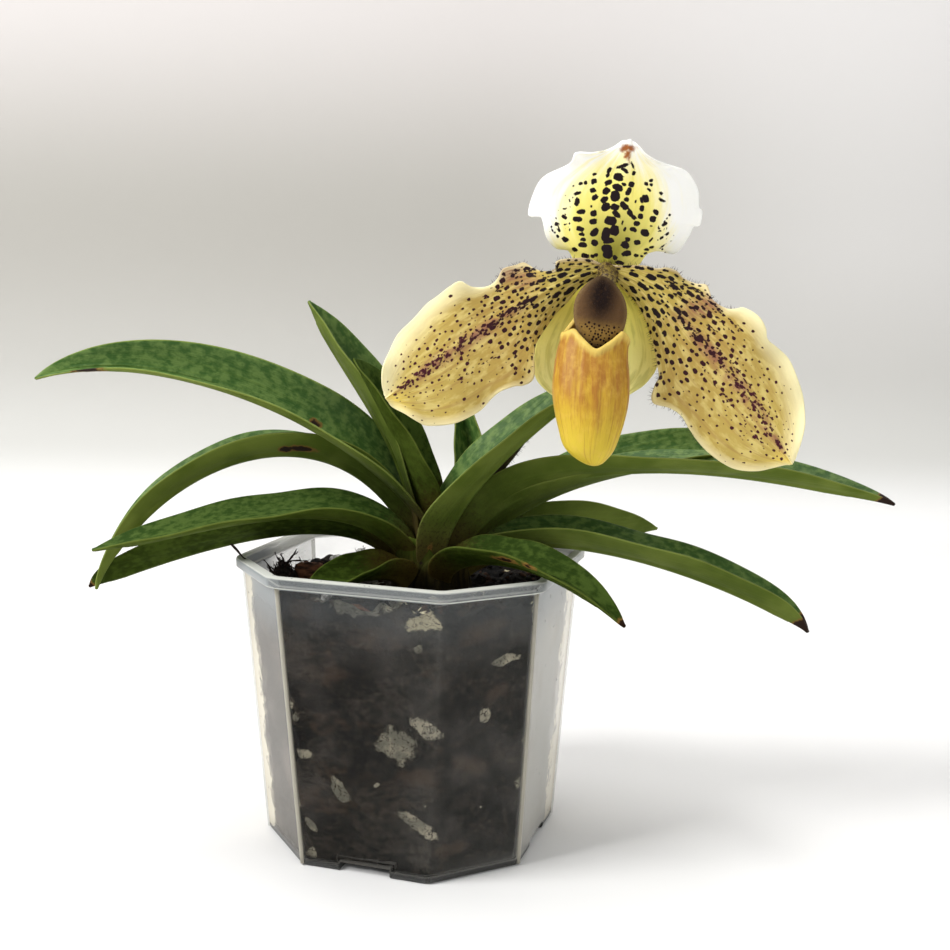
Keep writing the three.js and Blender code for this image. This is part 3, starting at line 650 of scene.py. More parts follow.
def scatter(name, host, pattern, per_square_cm, least, most, lean, seed):
    """Copies of a small object standing on a surface, by Geometry Nodes, as one plain mesh."""
    tree = bpy.data.node_groups.new(name, "GeometryNodeTree")
    tree.interface.new_socket("Geometry", in_out="INPUT", socket_type="NodeSocketGeometry")
    tree.interface.new_socket("Geometry", in_out="OUTPUT", socket_type="NodeSocketGeometry")
    amounts = {"Per square metre": per_square_cm * 1e4, "Least": least, "Most": most, "Lean": lean}
    for label in amounts:
        tree.interface.new_socket(label, in_out="INPUT", socket_type="NodeSocketFloat")
    plan = Graph(tree)
    given = plan.node("NodeGroupInput", out="Geometry")
    spread = plan.node("GeometryNodeDistributePointsOnFaces", out="Points", named={
        "Mesh": given, "Density": given.also("Per square metre"), "Seed": seed})
    lean_least, lean_most = (
        plan.at(given.also("Lean") * sign, given.also("Lean") * sign, sign * math.pi)
        for sign in (-1, 1))
    tilt = plan.node("FunctionNodeRandomValue", lean_least, lean_most, data_type="FLOAT_VECTOR",
                     named={"Seed": seed + 1})
    stand = plan.node("FunctionNodeRotateRotation", spread.also("Rotation"),
                      plan.node("FunctionNodeEulerToRotation", tilt), rotation_space="LOCAL")
    size = plan.node("FunctionNodeRandomValue", out=1, named={
        2: given.also("Least"), 3: given.also("Most"), "Seed": seed + 2})
    source = plan.node("GeometryNodeObjectInfo", out="Geometry", named={"Object": pattern})
    copies = plan.node("GeometryNodeInstanceOnPoints", named={
        "Points": spread, "Instance": source, "Rotation": stand, "Scale": size})
    coat = plan.node("GeometryNodeSetMaterial", plan.node("GeometryNodeRealizeInstances", copies),
                     named={"Material": pattern.data.materials[0]})
    plan.feed(tree.nodes.new("NodeGroupOutput").inputs[0], coat)
    carrier = bpy.data.objects.new(name + "_carrier", host)
    scene.collection.objects.link(carrier)
    growth = carrier.modifiers.new(name, "NODES")
    growth.node_group = tree
    for item in tree.interface.items_tree:
        if item.name in amounts:
            growth[item.identifier] = amounts[item.name]
    mesh = settled(carrier)
    mesh.name = name
    carrier.modifiers.remove(growth)
    bpy.data.objects.remove(carrier)
    return mesh


def pattern_object(name, mesh, material):
    """A small object to be copied, kept out of the scene."""
    mesh.materials.clear()
    mesh.materials.append(material)
    return bpy.data.objects.new(name, mesh)


top_plan = [dense(pot_ring(MEDIUM_TOP, WALL + 2.5 + inset), 90) for inset in np.linspace(0, 34, 16)]
for ring in top_plan:
    ring[:, 2] = medium_height(ring[:, 0], ring[:, 1]) + 0.2
vertices, faces = skin(top_plan, fan_start=False)
crumb_bed = mesh_of("crumb_bed", spin(vertices, POT_TURN), faces)
crumb_finish = two_tone("crumbs", (300, 3), (16, 13, 12), (62, 44, 34), (0.42, 0.62),
                        Roughness=0.9, Specular_IOR_Level=0.12)
crumb = pattern_object("crumb", lump("crumb", (1.5, 1.1, 0.7), 5.5, detail=1, knobs=0.9),
                       crumb_finish.material)
finished("compost_crumbs", scatter("compost_crumbs", crumb_bed, crumb, 9.0, 0.35, 1.25, 0.5, 11),
         crumb_finish.material, "medium")

chance = random.Random(4)
root_parts = []


def rootlet(start, heading, long, thick):
    """A crooked dead root from start, running roughly along heading; gives back its path."""
    heading = unit(np.array(heading, float))
    steps = [np.array(start, float)]
    for _ in range(4):
        heading = unit(heading + [chance.gauss(0, 0.38) for _ in range(3)])
        steps.append(steps[-1] + heading * long / 4)
    path = through(steps, 14)
    knots = [thick * (1 - 0.7 * t) * (1 + 0.3 * math.sin(23 * t + long)) for t in np.linspace(0, 1, 14)]
    root_parts.append(skin(tube(path, knots, 7)))
    return path


for k in range(44):
    x, y = HEAP[0] + chance.gauss(0, 2.6), HEAP[1] + chance.gauss(0, 3.6)
    z = float(medium_height(x, y)) - 0.8
    outward = (-0.4 + chance.gauss(0, 0.8), chance.gauss(0, 0.6), 1.0)
    path = rootlet((x, y, z), outward, chance.uniform(2.5, 5.0) if k % 7 else 8.5, chance.uniform(0.30, 0.55))
    if k % 2:
        rootlet(path[8], (chance.gauss(0, 1), chance.gauss(0, 0.6), 0.8), 2.2, 0.26)
root_vertices, root_faces = gather(root_parts)
stray = through([(-50.4, -16, 87.2), (-49.0, -15, 85.3), (-47.2, -14.5, 82.95), (-46.2, -10.5, 81.0),
                 (-44.5, -8.0, 75.5)], 20)
stray_radii = [0.30 + 0.1 * math.sin(9 * t) for t in np.linspace(0, 1, 20)]
vertices, faces = gather([(spin(root_vertices, POT_TURN), root_faces), skin(tube(stray, stray_radii, 7))])
dead_root = two_tone("dead_root", (500, 3), (14, 11, 11), (52, 40, 34), relief=(1400, 3, 0.0004),
                     Roughness=0.8, Specular_IOR_Level=0.15)
finished("dead_rootlets", mesh_of("dead_rootlets", vertices, faces), dead_root.material, "medium")

# ---------------------------------------------------------------- crown
# The short stem low in the pot, wrapped in the dried brown sheaths of old leaves. The sheaths
# clasp it one over the other, thin and papery, with torn upper edges.

CROWN_X, CROWN_Y, CROWN_FLAT = 5.0, -0.5, 0.88
CROWN_FOOT, CROWN_HEAD = 60.0, 85.6
# Height and radius.
PROFILE = ((CROWN_FOOT, 6.5), (64.0, 8.3), (72.5, 8.4), (76.0, 8.1), (80.5, 7.1), (84.3, 4.6),
           (CROWN_HEAD, 2.0))


def read_off(table, at, column=1):
    """A value between the rows of a table; its first column says where each row stands."""
    table = np.array(table)
    return np.interp(at, table[:, 0], table[:, column])


turn = once_round(96)
rings = []
for z in np.linspace(CROWN_FOOT, CROWN_HEAD, 40):
    radius = read_off(PROFILE, z)
    fold = 1 + 0.018 * np.sin(11 * turn + 0.15 * z) + 0.012 * np.sin(23 * turn - 0.1 * z)
    rings.append(np.stack([CROWN_X + radius * fold * np.cos(turn),
                           CROWN_Y + CROWN_FLAT * radius * fold * np.sin(turn), np.full(96, z)], -1))
crown_parts = [skin(rings)]


def closed_sheet(middle, thick, out=0.35):
    """A thin closed sheet round a grid of middle points: both faces and a rounded edge.

    Also gives, for each vertex, its row and its column in the grid, and 1 on the face that the
    grid's normal points out of, 0 on the other and a half on the edge."""
    rows, columns = middle.shape[:2]
    along = np.gradient(middle, axis=0)
    across = np.gradient(middle, axis=1)
    normal = np.cross(along, across)
    normal /= np.maximum(np.linalg.norm(normal, axis=-1, keepdims=True), 1e-9)
    half = (np.broadcast_to(thick, (rows, columns)) / 2)[..., None]
    front, back = middle + normal * half, middle - normal * half
    edge = [(i, 0) for i in range(rows)] + [(rows - 1, j) for j in range(1, columns)]
    edge += [(i, columns - 1) for i in range(rows - 2, -1, -1)] + [(0, j) for j in range(columns - 2, 0, -1)]
    rim = []
    for i, j in edge:
        away = np.zeros(3)
        if i in (0, rows - 1):
            away += (1 if i else -1) * along[i, j] / (np.linalg.norm(along[i, j]) + 1e-9)
        if j in (0, columns - 1):
            away += (1 if j else -1) * across[i, j] / (np.linalg.norm(across[i, j]) + 1e-9)
        length = np.linalg.norm(away)
        rim.append(middle[i, j] + away / (length if length > 0.3 else 1) * 2 * half[i, j] * out)
    vertices = np.vstack([front.reshape(-1, 3), back.reshape(-1, 3), rim])
    index = np.arange(rows * columns).reshape(rows, columns)
    a, b, c, d = index[:-1, :-1], index[1:, :-1], index[1:, 1:], index[:-1, 1:]
    top = np.stack([a, b, c, d], -1).reshape(-1, 4)
    under = top[:, ::-1] + rows * columns
    faces = top.tolist() + under.tolist()
    first = 2 * rows * columns
    for k, (i, j) in enumerate(edge):
        m, n = edge[(k + 1) % len(edge)]
        upper, upper_next = int(index[i, j]), int(index[m, n])
        lower, lower_next = upper + rows * columns, upper_next + rows * columns
        mid, mid_next = first + k, first + (k + 1) % len(edge)
        faces += [(upper, mid, mid_next, upper_next), (mid, lower, lower_next, mid_next)]
    row, column = (part.ravel() for part in np.indices((rows, columns)))
    edge_row, edge_column = np.transpose(edge)
    upper_face = np.repeat([1.0, 0.0, 0.5], [len(row), len(row), len(edge)])
    return (vertices, faces, np.concatenate([row, row, edge_row]),
            np.concatenate([column, column, edge_column]), upper_face)


# Above this height a sheath no longer follows the stem inwards.
WIDE_UP_TO, SHEATH_THICK = 77, 0.35
# Where round the stem each sheath starts and how far it wraps, in radians; foot; tip; how far off.
for start, span, foot, head, away in ((-2.6, 3.0, 66, 79.5, 0.5), (0.2, 2.6, 66, 77.0, 0.65),
                                      (-1.2, 1.5, 66, 74.5, 0.95), (2.4, 2.2, 66, 81.0, 0.35),
                                      (-2.75, 1.5, 66, 88.5, 4.2), (-1.95, 1.5, 66, 85.0, 4.8)):
    angle = start + span * np.linspace(0, 1, 40)
    middle = np.zeros((18, 40, 3))
    for i, level in enumerate(np.linspace(0, 1, 18)):
        ragged = 1 - 0.55 * np.abs(np.linspace(-1, 1, 40)) ** 2.5 + 0.012 * np.sin(17 * angle)
        z = foot + (head - foot) * level * ragged
        radius = read_off(PROFILE, np.minimum(z, WIDE_UP_TO)) + away
        middle[i] = np.stack([CROWN_X + radius * np.cos(angle),
                              CROWN_Y + (CROWN_FLAT * radius + 0.1) * np.sin(angle), z], -1)
    crown_parts.append(closed_sheet(middle, SHEATH_THICK)[:2])
vertices, faces = gather(crown_parts)
husk = Finish("dry_sheath", Roughness=0.75, Specular_IOR_Level=0.05)
fibres = husk.grain(300, 4, stretch=(3, 3, 0.35))
husk.bump(fibres, 0.0007)
husk_height = husk.place().parts()[2]
finished("crown_sheaths", mesh_of("crown_sheaths", vertices, faces), husk.paint(
    husk.mix(fibres.step(0.35, 0.7), (38, 32, 13), (68, 60, 26)),
    (husk.grain(120, 3).step(0.5, 0.7), (50, 54, 20)),
    (husk_height.step(0.0785, 0.0875) * 0.85, husk.mix(fibres, (58, 72, 18), (74, 86, 26))),
    # Painted shade: low down, deep among the leaf bases, the sheaths are painted near black.
    (husk_height.step(0.083, 0.072) * 0.88, (14, 11, 7)),
    (husk.grain(500, 2).step(0.66, 0.74), (34, 26, 22))), "crown", "crown")

# ---------------------------------------------------------------- leaves
# Fifteen strap leaves in a fan, thick and leathery, each folded along a keel that stands out
# below. Green mottled with darker green above, plain olive below, with pale thin margins,
# a few brown dead patches and brown tips. Leaves and parts of leaves that lie in shade are
# painted a darker green and take a copy of the finish with less gloss: painted shade.

# Name; how much painted shade darkens its green at the base and at the tip; four points of the
# rib; width of a wing; lift of the left and of the right wing at the base, the middle and the tip,
# in degrees; dead patches: share of the length, share of the width, half length and half width in mm.
LEAVES = (
    ("leaf_01", (0.85, 0.0), ((3, 2, 86), (6, 2, 100), (-59, -2, 148), (-106, -8, 132)), 12,
     (15, 10, -5), (-20, 90, 90),
     ((0.885, 0.93, 5.2, 1.5), (0.37, -0.1, 1.8, 1.1), (0.77, 0.5, 0.5, 0.5))),
    ("leaf_02", (0.6, 0.05), ((1, 5, 81), (-21, 7, 133), (-79, 4, 107), (-92, -4, 71)), 10.5,
     (65, 35, 30), (15, 35, 40), ((0.385, 0.40, 3.8, 1.5), (0.42, 0.34, 2.0, 1.7))),
    ("leaf_03", (0.75, 0.62), ((0, -5, 76), (-12, -8, 109), (-60, -12, 89), (-89, -16, 85)), 11.5,
     (45, 10, 10), (55, 25, 30), ()),
    ("leaf_04", (0.97, 0.93), ((-4, -1, 77), (-17, 2, 103), (-80, 4, 76), (-96, 3, 70)), 12,
     (50, 35, 60), (30, 30, 50), ((0.995, 0.0, 1.2, 2),)),
    ("leaf_05", (0.97, 1.0), ((-3, -9, 73), (-3, -14, 83), (-18, -22, 77), (-27, -29, 80)), 8.5,
     (65, 35, -10), (65, 45, 50), ()),
    ("leaf_06", (0.95, 0.25), ((1, 3, 86), (-2, 6, 114), (-23, 9, 134), (-32, 12, 154)), 10.5,
     (20, 35, 30), (45, 50, 50), ()),
    ("leaf_07", (1.0, 0.78), ((4, 0, 86), (-2, 1, 98), (-9, 2, 124), (-18, 3, 138)), 12,
     (80, 45, 10), (55, 45, 45), ()),
    ("leaf_08", (0.3, 0.0), ((11, 9, 84), (19, 12, 98), (16, 16, 116), (9, 20, 130)), 8,
     (30, 45, 65), (75, 70, 60), ()),
    ("leaf_09", (0.6, 0.1), ((8, -7, 78), (5, -9, 95), (28, -10, 117), (52, -10, 135)), 12,
     (35, 45, 50), (65, 25, 15), ((0.10, -0.6, 0.9, 0.5),)),
    ("leaf_10", (0.7, 0.0), ((11, -3, 79), (28, -1, 120), (96, -6, 109), (134, -14, 101)), 13,
     (-10, 15, 45), (85, 20, 30), ((0.985, 0.0, 3, 4),)),
    ("leaf_11", (0.8, 0.25), ((13, 6, 77), (37, 12, 89), (54, 22, 82), (75, 34, 84)), 12,
     (25, 35, 40), (80, 75, 50), ()),
    ("leaf_12", (0.6, 0.2), ((11, -3, 79), (36, -4, 99), (100, -6, 73), (113, -10, 63)), 11.5,
     (50, 30, 60), (40, 30, 45), ((0.985, 0.0, 3.5, 5),)),
    ("leaf_13", (0.97, 0.86), ((10, -9, 75), (8, -19, 87), (34, -37, 93), (56, -48, 74)), 9,
     (70, 35, 45), (40, 30, 20),
     ((0.50, -0.72, 3.2, 1.0), (0.60, -0.85, 1.6, 0.8), (0.99, 0.0, 1.5, 2))),
    ("leaf_14", (0.7, 0.05), ((13, 2, 78), (37, 5, 110), (77, 8, 106), (103, 12, 114)), 13,
     (20, 45, 75), (60, 15, 10), ()),
    ("leaf_15", (0.7, 0.7), ((14, 5, 74), (20, 8, 79), (26, 12, 79), (31, 15, 77)), 6,
     (40, 30, 30), (40, 30, 30), ()),
)


def leaf_tissue(name, gloss):
    """Leathery leaf: mottled above, plain below; brown and freckled at its foot."""
    leaf = Finish(name, Specular_IOR_Level=gloss)
    upper, deep, span, run, whose = map(leaf.field, ("upper", "deep", "span", "run", "whose"))
    leaf.set(Roughness=0.42 + deep.math("MAXIMUM", 1.0 - upper) * 0.42)
    flat_place = leaf.at(run, span, whose)
    blocks = leaf.grain(500, 3, at=flat_place, stretch=(0.75, 1.0, 1.0))
    clouds = leaf.grain(70, 2, at=flat_place)
    mottle = blocks * 0.7 + clouds * 0.3
    lines = leaf.grain(1.0, 2, at=leaf.at(run * 12.0, span * 1700.0, whose))
    from_rib = abs(leaf.field("across"))
    freckles = leaf.grain(1300, 2).step(0.54, 0.62) * run.step(0.026, 0.010)
    dead = leaf.field("dead") + (leaf.grain(700, 3) - 0.5) * 1.6
    leaf.bump(lines * 0.6 + blocks, 0.00022)
    return leaf.paint(
        leaf.mix(upper, leaf.mix(clouds.step(0.35, 0.65), (84, 100, 30), (106, 120, 48)),
                 leaf.mix(mottle.step(0.40, 0.60), (60, 92, 40), (100, 126, 65))),
        # Painted shade: where the deep field is high the green is painted darker, and the veins, rib, margins
        # and foot with it.
        (deep, leaf.mix(mottle.step(0.42, 0.60), (32, 44, 7), (50, 65, 18))),
        (lines.step(0.5, 0.8) * 0.22, leaf.mix(deep, (112, 134, 56), (58, 74, 22))),
        (from_rib.step(0.06, 0.02) * 0.4, leaf.mix(deep, (120, 142, 62), (70, 84, 28))),
        (from_rib.step(0.985, 1.0) * 0.4, leaf.mix(deep, (146, 154, 76), (84, 94, 38))),
        (run.step(0.018, 0.005) * 0.85, leaf.mix(deep, (88, 80, 40), (76, 63, 26))),
        (freckles * 0.5, (50, 28, 20)),
        (dead.step(-0.5, 0.1), (120, 92, 44)), (dead.step(0.0, 0.5), (38, 24, 16)))


# A lit copy of the finish with more gloss, and a shaded copy with less for leaves whose tips lie in shade:
# painted shade.
lit_leaf_finish, shaded_leaf_finish = leaf_tissue("leaf", 0.14), leaf_tissue("shaded_leaf", 0.03)


def grid_shares(rows, columns):
    """How far each row of a grid is along, from 0 to 1, and each column across, from -1 to 1."""
    return np.linspace(0, 1, rows)[:, None], np.linspace(-1, 1, columns)[None, :]


def swept(centre, side, up, sideways, upwards):
    """A grid of places: each row's centre, moved sideways and upwards by those distances."""
    return (centre[:, None, :] + side[:, None, :] * sideways[..., None]
            + up[:, None, :] * upwards[..., None])


# Where a leaf is widest and how wide its foot is, as shares; the keel's height and half width.
WIDEST, FOOT_WIDTH, KEEL, KEEL_WIDTH = 0.42, 0.45, 0.85, 1.1


def strap_leaf(name, deep, rib, wing, left, right, dead_patches):
    """One leaf along its rib, a curve of four points, from the fields of a row of LEAVES."""
    u, v = grid_shares(120, 33)
    p = np.array(rib, float)
    centre = (1 - u) ** 3 * p[0] + 3 * u * (1 - u) ** 2 * p[1] + 3 * u * u * (1 - u) * p[2] + u ** 3 * p[3]
    ahead = unit((1 - u) ** 2 * (p[1] - p[0]) + 2 * u * (1 - u) * (p[2] - p[1]) + u * u * (p[3] - p[2]))
    run = p[3] - p[0]
    level = np.array([-run[1], run[0], 0]) / math.hypot(run[0], run[1])
    side = unit(level - ahead * (ahead @ level)[:, None])
    up = np.cross(ahead, side)
    smooth = np.hanning(17) / np.hanning(17).sum()

    def lift(angles):
        line = np.interp(u[:, 0], (0, 0.5, 1), np.radians(angles))
        return np.convolve(np.pad(line, 8, "edge"), smooth, "valid")[:, None]

    opening = FOOT_WIDTH + (1 - FOOT_WIDTH) * np.sin(math.pi / 2 * np.minimum(1, u / WIDEST))
    narrowing = np.maximum(0, 1 - np.maximum(0, (u - WIDEST) / (1 - WIDEST)) ** 2.3) ** 0.8
    width = wing * opening * np.maximum(narrowing, 0.02)
    angle = np.where(v > 0, lift(left), lift(right))
    ripple = 0.25 * np.abs(v) ** 3 * np.sin(24 * u + 3 * np.sign(v) + p[3][0])
    reach, belly = width * np.abs(v), 0.08 * width * np.sin(math.pi * np.abs(v)) + ripple
    sideways = np.sign(v) * (reach * np.cos(angle) + belly * np.sin(angle))
    upwards = reach * np.sin(angle) - belly * np.cos(angle)
    keel = KEEL * np.exp(-(v * width / KEEL_WIDTH) ** 2) * np.clip((1 - u) / 0.15, 0.25, 1)
    middle = swept(centre, side, up, sideways, upwards) - up[:, None, :] * (keel / 2)[..., None]
    thick = np.clip(0.95 - 0.45 * np.abs(v) ** 6 - 0.2 * (u > 0.9), 0.4, 1) + keel
    vertices, faces, i, j, upper = closed_sheet(middle, thick)
    along, across = u[i, 0], v[0, j]
    length = length_along(centre)
    run_mm, span_mm = length[i], across * width[i, 0]
    dead = np.full(len(along), -5.0)
    for at, over, half_long, half_wide in dead_patches:
        off = np.hypot((run_mm - at * length[-1]) / half_long,
                       (span_mm - over * np.interp(at, u[:, 0], width[:, 0])) / half_wide)
        dead = np.maximum(dead, (1 - off) * min(half_long, half_wide))
    # deep carries the painted shade, eased from the base to the tip; a shaded tip picks the shaded copy of
    # the finish.
    mesh = mesh_of(name + "_strap", vertices, faces, along=along, across=across, run=run_mm * MM,
                   span=span_mm * MM, upper=upper, dead=dead, deep=np.interp(along, (0.08, 0.45), deep),
                   whose=np.full(len(along), 0.37 * int(name[-2:])))
    finished(name + "_strap", mesh, shaded_leaf_finish if deep[1] > 0.3 else lit_leaf_finish, "leaf", name)


for leaf in LEAVES:
    strap_leaf(*leaf)

# ---------------------------------------------------------------- scape, ovary and bract
# The flower stem is dark purple and downy; it carries the ribbed green ovary, which bends
# forward to the flower, with a green pointed bract wrapped round its foot.

hair_finish = two_tone("hair", (600, 2), (24, 12, 14), (66, 40, 40), Roughness=0.6)
# A hair is a three-sided spike, one unit tall, that bends a little.
spike = [(reach * math.cos(a) + bend, reach * math.sin(a), tall)
         for reach, bend, tall in ((0.055, 0, 0), (0.035, 0.03, 0.55)) for a in (0, 2.094, 4.189)]
spike_faces = [(0, 2, 1), (0, 1, 4, 3), (1, 2, 5, 4), (2, 0, 3, 5), (3, 4, 6), (4, 5, 6), (5, 3, 6)]
hair = pattern_object("hair", mesh_of("hair", spike + [(0.10, 0, 1.0)], spike_faces),
                      hair_finish.material)


def downy(name, vertices, faces, slot, per_square_cm, least, most, seed, lean=0.5):
    """Short hairs standing on a surface that is given by its vertices and faces."""
    host = mesh_of(name + "_bed", vertices, faces)
    finished(name, scatter(name, host, hair, per_square_cm, least, most, lean, seed),
             hair_finish.material, slot)


stem_path = through([(8.4, 2.7, 84.5), (9, 3, 86.5), (16, 3.5, 96), (25.5, 3.5, 109.5), (38, 3, 126.5),
                     (47, 2, 138), (47.9, 1.6, 139.5)], 70)
stem = skin(tube(stem_path, [np.full(20, 2.1 + 0.06 * math.sin(0.9 * k)) for k in range(70)], 20))
stem_finish = two_tone("scape", (350, 4), (58, 34, 40), (104, 78, 52), (0.4, 0.65),
                       relief=(900, 3, 0.0003), stretch=(1, 1, 0.4), Roughness=0.55)
finished("scape_stem", mesh_of("scape_stem", *stem), stem_finish.material, "scape", "scape")
downy("scape_down", *stem, "scape", 110, 0.6, 1.3, 21)

OVARY_PATH = ((47.7, 1.7, 139.3), (50.5, -1, 150), (51.5, -9, 160), (51, -19.2, 163.4))
OVARY_RADIUS = 2.9


def ovary_swell(t):
    return 0.72 + 0.28 * np.sin(math.pi * np.minimum(1, 1.15 * t))


turn = once_round(30)
radii = [OVARY_RADIUS * ovary_swell(t) * (0.94 + 0.06 * np.cos(6 * turn)) for t in np.linspace(0, 1, 60)]
ovary = skin(tube(through(OVARY_PATH, 60), radii, 30))
ovary_finish = two_tone("ovary", (260, 4), (96, 104, 54), (76, 46, 44), (0.45, 0.65),
                        relief=(700, 3, 0.0003), Roughness=0.55)
finished("ovary_stalk", mesh_of("ovary_stalk", *ovary), ovary_finish.material, "ovary", "ovary")
downy("ovary_down", *ovary, "ovary", 90, 0.6, 1.4, 22)

# The bract wraps the lower half of the ovary: nearly all round at its foot, a tip at its end.
BRACT_THICK, BRACT_OFF, WRAP_AT_FOOT, WRAP_AT_TIP, FINE_STEPS = 0.55, 0.72, 1.9, 0.25, 400
u, v = grid_shares(50, 31)
up_ovary = 0.02 + 0.5 * u
centre = np.stack([np.interp(up_ovary[:, 0] * (FINE_STEPS - 1), np.arange(FINE_STEPS), line)
                   for line in through(OVARY_PATH, FINE_STEPS).T], -1)
ahead = unit(np.gradient(centre, axis=0))
side = unit(np.cross((0, 1, 0), ahead))
behind = np.cross(ahead, side)
wrap = math.pi / 2 + v * (WRAP_AT_FOOT + (WRAP_AT_TIP - WRAP_AT_FOOT) * u * u)
reach = OVARY_RADIUS * ovary_swell(up_ovary) + BRACT_OFF + 1.8 * u * u + 0.12 * np.cos(9 * v) * u
middle = swept(centre, side, behind, reach * np.cos(wrap), -reach * np.sin(wrap))
vertices, faces, i, j, _ = closed_sheet(middle, BRACT_THICK)
bract_finish = Finish("bract", Roughness=0.45)
veins = bract_finish.grain(1.0, 2, at=bract_finish.at(
    bract_finish.field("along"), bract_finish.field("across") * 14.0))
bract_finish.bump(veins, 0.0003)
bract_finish.paint(bract_finish.mix(veins, (88, 112, 50), (138, 152, 78)),
                   (bract_finish.grain(600, 2).step(0.64, 0.72), (70, 44, 36)))
finished("bract_sheath", mesh_of("bract_sheath", vertices, faces, along=u[i, 0], across=v[0, j]),
         bract_finish.material, "bract", "bract")

# ---------------------------------------------------------------- sepals
# The upper sepal stands behind the flower, white round a yellow-green middle with rows of
# black-maroon spots. The two lower ones are grown into one pale green blade behind the pouch.

FLOWER_AT, FLOWER_ROLL = np.array([51.0, -26.0, 163.5]), math.radians(7)


def in_flower(points):
    """Points given in the flower's own plane, put in their place."""
    c, s = math.cos(FLOWER_ROLL), math.sin(FLOWER_ROLL)
    x, y, z = points[..., 0], points[..., 1], points[..., 2]
    return np.stack([c * x + s * z, y, c * z - s * x], -1) + FLOWER_AT


def evenly(points, count):
    """A smooth line through flat points, resampled at even steps."""
    return even_steps(through(points, 40 * len(points)), count)


def petal_grid(mid, plus, minus, rows, columns):
    """Flat places between the midline and two edges; rows run out from the base."""
    line, edge_plus, edge_minus = (evenly(points, rows) for points in (mid, plus, minus))
    t, v = grid_shares(rows, columns)
    span = rows // 5
    soft = np.hanning(2 * span + 1) / np.hanning(2 * span + 1).sum()

    def eased(edge):
        start, end = 2 * edge[0] - edge[span:0:-1], 2 * edge[-1] - edge[-2:-span - 2:-1]
        padded = np.vstack([start, edge, end])
        return np.stack([np.convolve(padded[:, axis], soft, "valid") for axis in (0, 1)], -1)

    plus_side = (v > 0)[..., None]
    edge = np.where(plus_side, edge_plus[:, None, :], edge_minus[:, None, :])
    calm = np.where(plus_side, eased(edge_plus)[:, None, :], eased(edge_minus)[:, None, :])
    share = np.abs(v)[..., None]
    flat = line[:, None, :] + share * (calm - line[:, None, :]) + share ** 7 * (edge - calm)
    return flat, np.broadcast_to(t, flat.shape[:2]), np.broadcast_to(v, flat.shape[:2])


def on_petal(flat, t, v):
    """The flat place at (t, v) and the direction of a row there."""
    rows, columns = flat.shape[:2]
    y, x = min(max(t, 0), 1) * (rows - 1), (min(max(v, -1), 1) + 1) / 2 * (columns - 1)
    i, j = min(int(y), rows - 2), min(int(x), columns - 2)
    f, g = y - i, x - j
    here = ((1 - f) * (1 - g) * flat[i, j] + f * (1 - g) * flat[i + 1, j]
            + (1 - f) * g * flat[i, j + 1] + f * g * flat[i + 1, j + 1])
    course = flat[i + 1, j] - flat[i, j]
    return here, course / (np.linalg.norm(course) + 1e-9)


def spot_depth(flat, spots):
    """How deep in a spot each place is, in mm; spots are place, course, half length, half width."""
    depth = np.full(flat.shape[:2], -3.0)
    for place, course, long, wide in spots:
        near = (np.abs(flat - place) < long + 3).all(-1)
        off = out_of_oval(*(flat[near] - place).T, *course, long, wide)
        depth[near] = np.maximum(depth[near], (1 - off) * wide)
    return depth


def stood_up(flat, front):
    """Flat places brought forward."""
    return np.stack([flat[..., 0], -front, flat[..., 1]], -1)


PETAL_THICK = 0.5


def petal_mesh(name, flat, front, **fields):
    """A petal's closed mesh; its own fields are read at each place of the grid."""
    vertices, faces, i, j, upper = closed_sheet(in_flower(stood_up(flat, front)), PETAL_THICK)
    turned_back = np.cross(flat[60, 50] - flat[40, 50], flat[50, 60] - flat[50, 40]) < 0
    read = {field: values[i, j] for field, values in fields.items()}
    return mesh_of(name, vertices, faces, face=1 - upper if turned_back else upper, **read)


chance = random.Random(20)
dorsal_left = ((-6.4, 1.6), (-8.7, 2.4), (-10.6, 4.5), (-13.8, 4.6), (-16.7, 7), (-19, 11.9), (-22.2, 12),
               (-21.7, 17.8), (-19.6, 22.2), (-13.8, 26), (-12.7, 28.7), (-8.8, 29.1), (-4.4, 30.6),
               (-1.4, 33.1))
dorsal_right = ((6.6, 1.6), (8.5, 3.2), (10.4, 6.5), (13.6, 7.8), (16, 7.4), (18.3, 7.9), (20.1, 11.5),
                (21.1, 14.8), (22.6, 15.5), (22.6, 19.1), (21.6, 20), (20.4, 24.1), (17.7, 27.3),
                (14.9, 28.7), (9.9, 29.1), (5.3, 30.2), (2.4, 32.6))
flat, t, v = petal_grid(((0.1, 1.0), (0.2, 10), (0.6, 22), (0.5, 33.7)), dorsal_right, dorsal_left,
                        200, 170)
front = (-1.9 + 5.5 * t * t - 5 * v * v * np.sin(math.pi * np.minimum(1, 0.25 + t))
         + 0.9 * v * v * np.sin(13 * t + 2 * v) + 0.5 * np.abs(v) ** 3 * np.sin(23 * t - v)
         + 0.35 * np.exp(-(v * 9) ** 2))

